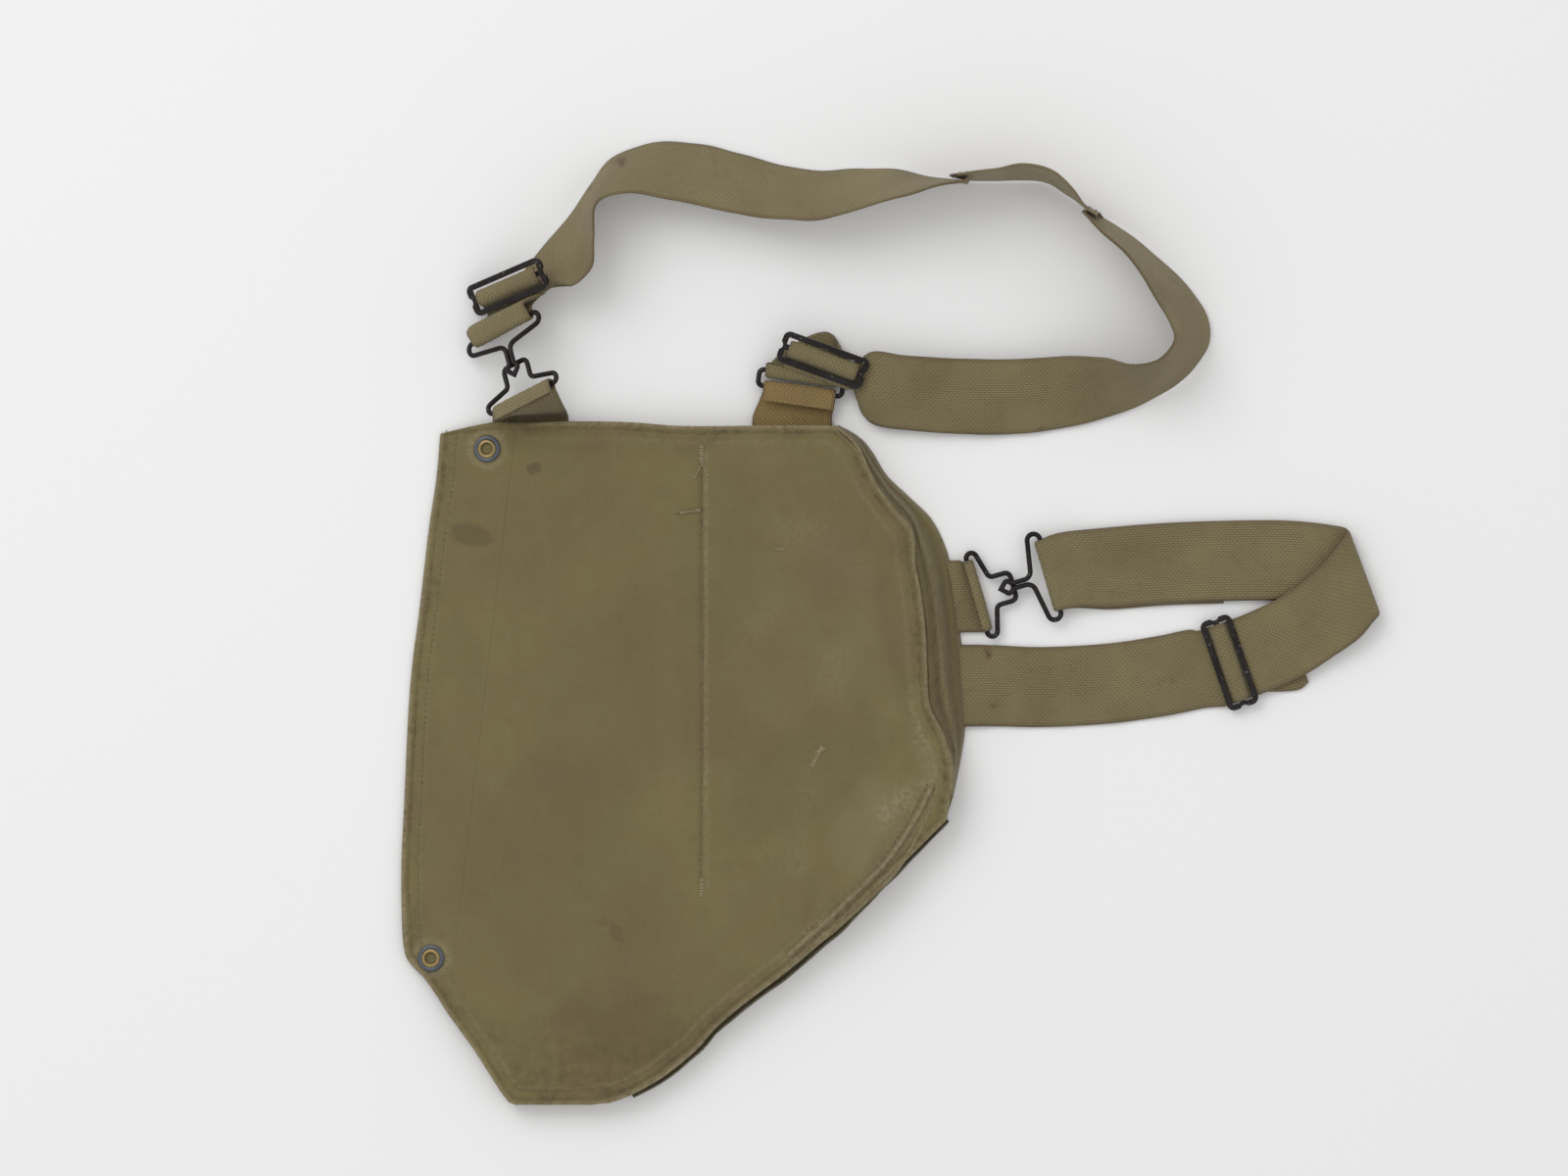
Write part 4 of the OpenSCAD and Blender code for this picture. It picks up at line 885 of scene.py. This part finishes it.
# Brown back layer showing along the lower right edge
edge_line = curve(LOWER_EDGE[8:], 2.0)
normal = -to_left(edge_line)
wide = (2.4 + 1.3 * np.sin(np.linspace(0, math.pi, len(edge_line)))
        + 0.5 * rumple(edge_line[:, 0], edge_line[:, 1], 30, 8))
cells = np.linspace(-3.5, 1, 6)
grid = np.stack([np.column_stack([edge_line + normal * (c * wide / (1 if c > 0 else 2.4))[:, None],
                                  np.full(len(edge_line), 2.3) + 0.35 * np.cos(c)]) for c in cells], axis=1)
grid[..., 2] += 0.35 * rumple(grid[..., 0], grid[..., 1], 22, 7)
batch = Batch()
add_sheet(batch, grid, 1.3, grid[..., :2], (0.12, 0.25, 0.0))
inner_edge = np.column_stack([edge_line + normal * (wide * 0.8)[:, None], np.full(len(edge_line), 2.9)])
add_tube(batch, inner_edge - (0, 0, 0.3), 0.75, 6, (0.35, 0.1, 0))
batch.build("brown_edge_layer", binding_cloth, "bag", replaces=("edge_binding",), slot="binding")

# Back panel with the raised facing of the mouth
facing_left = np.maximum(mouth_x(rows, 1.1), left_x(rows))
back_left = np.where(rows > -137, facing_left, left_x(rows))
t = np.linspace(0, 1, 120)
bx = back_left[:, None] * (1 - t) + right_x(rows, BACK_EDGE)[:, None] * t
by = np.broadcast_to(rows[:, None], bx.shape).copy()
by = np.minimum(by, top_limit(bx) - 0.6)
xp, yp = from_mouth(bx, by)
bz = CANVAS_T + FACING_Z * (1 - smoothstep(xp, 42, 47)) * smoothstep(by, -170, -140)
edge = distance(bx, by, LEFT_SIDE + RIGHT_SIDE)
grid = np.stack([bx, by, bz], axis=-1)
batch = Batch()
add_sheet(batch, grid, CANVAS_T - 0.05, grid[..., :2], cloth_tone(bx, by, edge) * (0.7, 1.0, 0))
batch.build("back_cloth", canvas_plain, "bag", replaces=("back_panel", "mouth_facing"), slot="canvas")


def add_wall(batch, line, bulge=0.9, low=CANVAS_T + 0.1):
    """Upright seam cloth along a line, from the back panel up to the front one."""
    p = curve(line, 2.5)
    inward = to_left(p)
    tall = front_top(p[:, 0], p[:, 1]) - CANVAS_T - 0.15 - low
    levels = np.linspace(0, 1, 8)
    wall = np.stack([np.column_stack([p + inward * (0.9 - bulge * math.sin(math.pi * h)), low
                                      + tall * h]) for h in levels], axis=1)
    wall[..., :2] += inward[:, None] * 0.3 * rumple(wall[..., 0] + wall[..., 2], wall[..., 1], 18, 5)[...,
            None]
    direction = np.broadcast_to(np.column_stack([inward, np.zeros(len(p))])[:, None], wall.shape)
    s = run_along(p)
    uv = np.stack([np.broadcast_to(s[:, None], wall.shape[:2]), np.broadcast_to(levels * 12, wall.shape[:2])],
                  axis=-1)
    # Painted shade: the tone darkens the upright cloth that stands under the front panel's edge.
    add_sheet(batch, wall, 1.0, uv, (0.15, 0.35, 0.0), direction)


batch = Batch()
add_wall(batch, [(82, TOP_Y - 2.6)] + [(x, y - 0.6) for x, y in TOP_EDGE[:3]] + [(-84, TOP_Y - 0.6)])
batch.build("top_seam_cloth", canvas_dark, "bag", replaces=("top_seam",), slot="canvas")
batch = Batch()
add_wall(batch, LOWER_EDGE[2:])
batch.build("bottom_seam_cloth", canvas_dark, "bag", replaces=("bottom_seam",), slot="canvas")
batch = Batch()
y = np.arange(172, -68.1, -2.0)
levels = np.linspace(0, 1, 7)
top = front_top(np.full_like(y, DIVIDER_X), y) - CANVAS_T - 0.1
grid = np.stack([np.column_stack([10.7 + 0.35 * np.sin(y / 17 + 3 * h), y, CANVAS_T + 0.1
                                  + (top - CANVAS_T - 0.1) * h]) for h in levels], axis=1)
add_sheet(batch, grid, 1.2, np.stack([grid[..., 1], grid[..., 2]], -1), (0.1, 0.2, 0.0), (-1, 0, 0))
batch.build("divider_cloth", canvas_plain, "bag", replaces=("compartment_divider",), slot="canvas")


# ---- snap caps on the flap ----

batch, inlay = Batch(), Batch()
SIDES = 40
for sx, sy in SNAPS:
    # The cap's axis stands square to the sloping flap
    cs, sn = math.cos(FLAP_SLOPE), math.sin(FLAP_SLOPE)
    base = np.array([*(MOUTH_TOP + sx * cs * MOUTH_X + sy * MOUTH_Y), FRONT_Z + CANVAS_T
                     + math.tan(FLAP_SLOPE) * sx * cs])
    ex, ey = np.array([*(MOUTH_X * cs), sn]), np.array([*MOUTH_Y, 0.0])
    up = np.cross(ex, ey)

    def lathe(target, profile, tone):
        angles = np.arange(SIDES) * TAU / SIDES
        rings = [base + up * h + r * (np.cos(angles)[:, None] * ex + np.sin(angles)[:, None] * ey) for r,
                 h in profile]
        m = len(profile)
        faces = [[i * SIDES + k, i * SIDES + (k + 1) % SIDES, ((i + 1) % m) * SIDES + (k + 1) % SIDES,
                  ((i + 1) % m) * SIDES + k] for i in range(m) for k in range(SIDES)]
        target.add(np.vstack(rings), faces, None, np.tile(tone, (m * SIDES, 1)))

    lathe(batch, [(5.0, 0.25), (5.4, 0.9), (6.6, 0.72), (7.35, 0.45), (SNAP_D / 2, 0.15), (7.3, -0.05),
                  (5.0, -0.05)], (0, 0, 0))
    lathe(inlay, [(3.2, 0.6), (3.3, 1.2), (3.9, 1.65), (4.6, 1.45), (5.3, 0.8), (5.3, 0.1), (3.2, 0.1)],
          (0, 0, 0))
batch.build("snap_flanges", flange_steel, "flap", replaces=("snap_discs",), slot="blackened_steel")
inlay.build("snap_rings", brass, "flap", replaces=("snap_eyelets",), slot="brass")


# ---- webbing ----

def shifted(f, move, lift):
    u, v, n = axes(f)
    return (tuple(np.array(f[0], float) + move * u + lift * n),) + tuple(f[1:])


def flip(pairs):
    return [(b, a) for a, b in pairs]


def web(name, pairs, material, body, nodes, slot="webbing", blend=None, **kind):
    ribbon = Ribbon(pairs)
    batch = Batch()
    ribbon.mesh(batch, **kind)
    obj = batch.build(name, material, None if blend else body, replaces=nodes, slot=slot)
    if blend:
        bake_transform(obj)
    return ribbon


ARROW_L = shifted(LEFT_HOOKS, 0, HOOK_LIFT)
left_pairs = (list(reversed(weave(LEFT_SLIDE, SHOULDER_W)
                            + [across(LEFT_SLIDE, WINDOW + 0.3, -0.2, SHOULDER_W)]))
              + [across(ARROW_L, ARROW_BACK + 6, 4.4, HOOK_WEB_W)] + wrap(ARROW_L, ARROW_BACK, HOOK_WEB_W,
                      facing=-1)
              + [across(ARROW_L, ARROW_BACK + 6, -3.6, HOOK_WEB_W)]
              + [tuple(p + (5, -1, 0) for p in across(LEFT_SLIDE, -6, -6.2, SHOULDER_W))]
              + [standing(s, SHOULDER_W) for s in LEFT_ROUTE])
left_pairs[:5] = list(reversed(weave(LEFT_SLIDE, HOOK_WEB_W)
                               + [across(LEFT_SLIDE, WINDOW + 0.3, -0.2, HOOK_WEB_W)]))
web("left_webbing", left_pairs, webbing, "shoulder_strap", ("left_strap",), seed=1,
               rust=[(-35, 333, 3.2, 0.8), (-52, 318, 1.5, 0.5)])

RING_FAR = (tuple(np.array(RING[0]) + RING_DEPTH * axes(RING)[0]), RING[1], 0, 0)
under = [(p[0], p[1], 1.3) for p in across(RIGHT_SLIDE, -2, -9, SHOULDER_W)]
right_pairs = ([standing(s, SHOULDER_W, lift) for s, lift in zip(RIGHT_ROUTE, RIGHT_LIFT)] + RIGHT_DIVE
               + flip([under]) + flip(wrap(RING_FAR, 0, HOOK_WEB_W, r=LOOP_R + 0.7, facing=-1, side=-1))
               + flip([across(RING_FAR, 3.5, LOOP_R + 2, HOOK_WEB_W)])
               + flip(weave(RIGHT_SLIDE, HOOK_WEB_W) + [across(RIGHT_SLIDE, WINDOW + 0.3, -0.2, HOOK_WEB_W)]))
web("right_webbing", right_pairs, webbing, "shoulder_strap", ("right_strap",), seed=4,
                rust=[(197, 183, 2.2, 0.6), (284, 215, 2, 0.4)])

splice_web = web("splice_webbing", [standing(s, SHOULDER_W - 1) for s in SPLICE_ROUTE], webbing_pale,
                 "shoulder_strap", ("splice_piece",), seed=7)


def tab(name, inside, root, seat, turn, end, material, body, nodes, slot, blend, seed):
    middle = [tuple((np.asarray(a) + np.asarray(b)) / 2 for a, b in zip(root, seat))]
    return web(name, [inside, root] + middle + [seat] + turn + [end], material, body, nodes, slot, blend,
               seed=seed)


SHOULDER_BLEND = ((0, 187 * MM, 2.7 * MM), (0, 196 * MM, 2.7 * MM))
left_tab = tab("left_tab_webbing", ((-106, 182, 2.7), (-64, 182, 2.7)),
               ((-106, 191.5, 2.7), (-64, 191.5, 2.7)),
               across(LEFT_HOOKS, -HOOK_BACK - 3, -LOOP_R, HOOK_WEB_W),
               wrap(LEFT_HOOKS, -HOOK_BACK, HOOK_WEB_W, side=-1),
               across(LEFT_HOOKS, -HOOK_BACK - 5.5, LOOP_R, HOOK_WEB_W), webbing, "shoulder_strap",
               ("left_tab", "left_anchor"), "webbing", SHOULDER_BLEND, 2)
right_tab = tab("right_tab_webbing", ((38, 182, 2.7), (82, 182, 2.7)), ((38, 191.5, 2.7), (82, 191.5, 2.7)),
                across(RING, -3, -LOOP_R, HOOK_WEB_W), wrap(RING, 0, HOOK_WEB_W, side=-1),
                across(RING, -8, LOOP_R, HOOK_WEB_W), webbing_tan, "shoulder_strap",
                ("right_tab", "right_anchor"), "webbing_tan", SHOULDER_BLEND, 5)

out = np.array([-(WAIST_AXIS[0] - WAIST_AXIS[1])[1], (WAIST_AXIS[0] - WAIST_AXIS[1])[0]])
out = unit(out) * (1 if out[0] > 0 else -1)


def waist_at(y, off):
    a, b = WAIST_AXIS
    t = (y - b[1]) / (a[1] - b[1])
    return (b[0] + (a[0] - b[0]) * t + out[0] * off, y + out[1] * off, 2.3)


near_axis, far_axis = waist_at(66, -3), waist_at(66, 5)
WAIST_BLEND = (tuple(MM * c for c in near_axis), tuple(MM * c for c in far_axis))
waist_tab = web("waist_tab_webbing",
                [(waist_at(112, -16), waist_at(72, -16)), (waist_at(112, 1), waist_at(72, 1)),
                                      across(WAIST_HOOKS, -HOOK_BACK - 1.5, -LOOP_R, HOOK_WEB_W)]
                + wrap(WAIST_HOOKS, -HOOK_BACK, HOOK_WEB_W, side=-1)
                + [across(WAIST_HOOKS, -HOOK_BACK - 2, LOOP_R, HOOK_WEB_W)], webbing, "waist_webbing",
                ("waist_tab", "waist_anchors"), "webbing", WAIST_BLEND, seed=3)
through = weave(WAIST_SLIDE, WAIST_W) + [across(WAIST_SLIDE, WINDOW + 1.5, -OVER, WAIST_W),
                                         across(WAIST_SLIDE, SLIDE_LEN / 2 + 1.5, -OVER, WAIST_W)]
waist_pairs = ([(waist_at(65.3, -16), waist_at(20, -16))] + WAIST_ROUTE + through + WAIST_RISE
               + [across(WAIST_ARROW, ARROW_BACK + 10, LOOP_R - 0.6, HOOK_WEB_W + 2)]
               + wrap(WAIST_ARROW, ARROW_BACK, HOOK_WEB_W, facing=-1)
               + [across(WAIST_ARROW, ARROW_BACK + 8, -LOOP_R + 0.5, HOOK_WEB_W + 2)] + WAIST_UNDER)
web("waist_webbing_strap", waist_pairs, webbing, "waist_webbing", ("waist_strap",), blend=WAIST_BLEND,
                seed=6, rust=[(168, 61, 3, 0.8), (172, 31.5, 2.2, 0.6)])
tail = [across(WAIST_SLIDE, 3, 0, WAIST_W - 8), ((326, 80), (341, 40.5)), ((332, 83.5), (346, 44.5))]
web("waist_tail_webbing", [tuple((p[0], p[1], 1.05) for p in pair) for pair in tail], webbing,
                 "waist_webbing", ("waist_tail",), seed=8)

# Sewn bands and frayed ends on the webbing
batch = Batch()
for ribbon in (left_tab, right_tab, waist_tab):
    for s in (3.0, 7.5):
        ribbon.stitch(batch, ribbon.length - s, ribbon.length - s + 0.01, -0.9, 0.9)
left_tab.fringe(batch, True, 2.5, 30)
for s in (2.0, 6.0):
    splice_web.stitch(batch, s, s + 0.01, -0.92, 0.92, side=1)
    splice_web.stitch(batch, splice_web.length - s, splice_web.length - s + 0.01, -0.92, 0.92, side=1)
splice_web.fringe(batch, False, 3.5, 34)
splice_web.fringe(batch, True, 3.5, 34)
batch.build("webbing_stitching", thread_brown, "shoulder_strap", replaces=("splice_stitches",),
            slot="seam_thread")

# ---- metal kept from the CAD ----

for name in ("snap_studs", "stud_washers", "left_eye_hook", "left_arrow_hook", "right_ring", "waist_eye_hook",
             "waist_arrow_hook", "left_slide", "right_slide", "waist_slide"):
    obj = NODES[name]
    obj.data.materials.clear()
    obj.data.materials.append(slide_steel if "slide" in name else steel)
    obj.data.shade_smooth()
    obj.data.set_sharp_from_angle(angle=math.radians(40))

# ---- camera, floor and light ----

scene = bpy.context.scene
camera = bpy.data.objects.new("photo_camera", bpy.data.cameras.new("photo_camera"))
scene.collection.objects.link(camera)
camera.data.lens, camera.data.sensor_width = 200, 36
camera.location = (0.0554, 0.0967, 4.827)
camera.rotation_euler = (0, 0, 0)
camera.data.clip_end = 20
scene.camera = camera
scene.view_settings.view_transform = "Standard"
world = bpy.data.worlds.new("soft_world")
world.use_nodes = True
world.node_tree.nodes["Background"].inputs["Color"].default_value = (1, 1, 1, 1)
world.node_tree.nodes["Background"].inputs["Strength"].default_value = 0.75
scene.world = world

floor_mesh = bpy.data.meshes.new("floor")
floor_mesh.from_pydata([(-3, -3, -0.0004), (3, -3, -0.0004), (3, 3, -0.0004), (-3, 3, -0.0004)], [],
                       [(0, 1, 2, 3)])
floor = bpy.data.objects.new("floor", floor_mesh)
scene.collection.objects.link(floor)
white = bpy.data.materials.new("pale_floor")
white.use_nodes = True
shader = next(n for n in white.node_tree.nodes if n.type == "BSDF_PRINCIPLED")
shader.inputs["Base Color"].default_value = (0.9, 0.9, 0.9, 1)
shader.inputs["Roughness"].default_value = 0.9
floor_mesh.materials.append(white)
lamp = bpy.data.lights.new("soft_window", "AREA")
lamp.shape, lamp.size, lamp.energy = "SQUARE", 2.2, 38
light = bpy.data.objects.new("soft_window", lamp)
light.location = (-1.6, 2.0, 2.6)
light.rotation_euler = (math.radians(-37), math.radians(-31), 0)
scene.collection.objects.link(light)
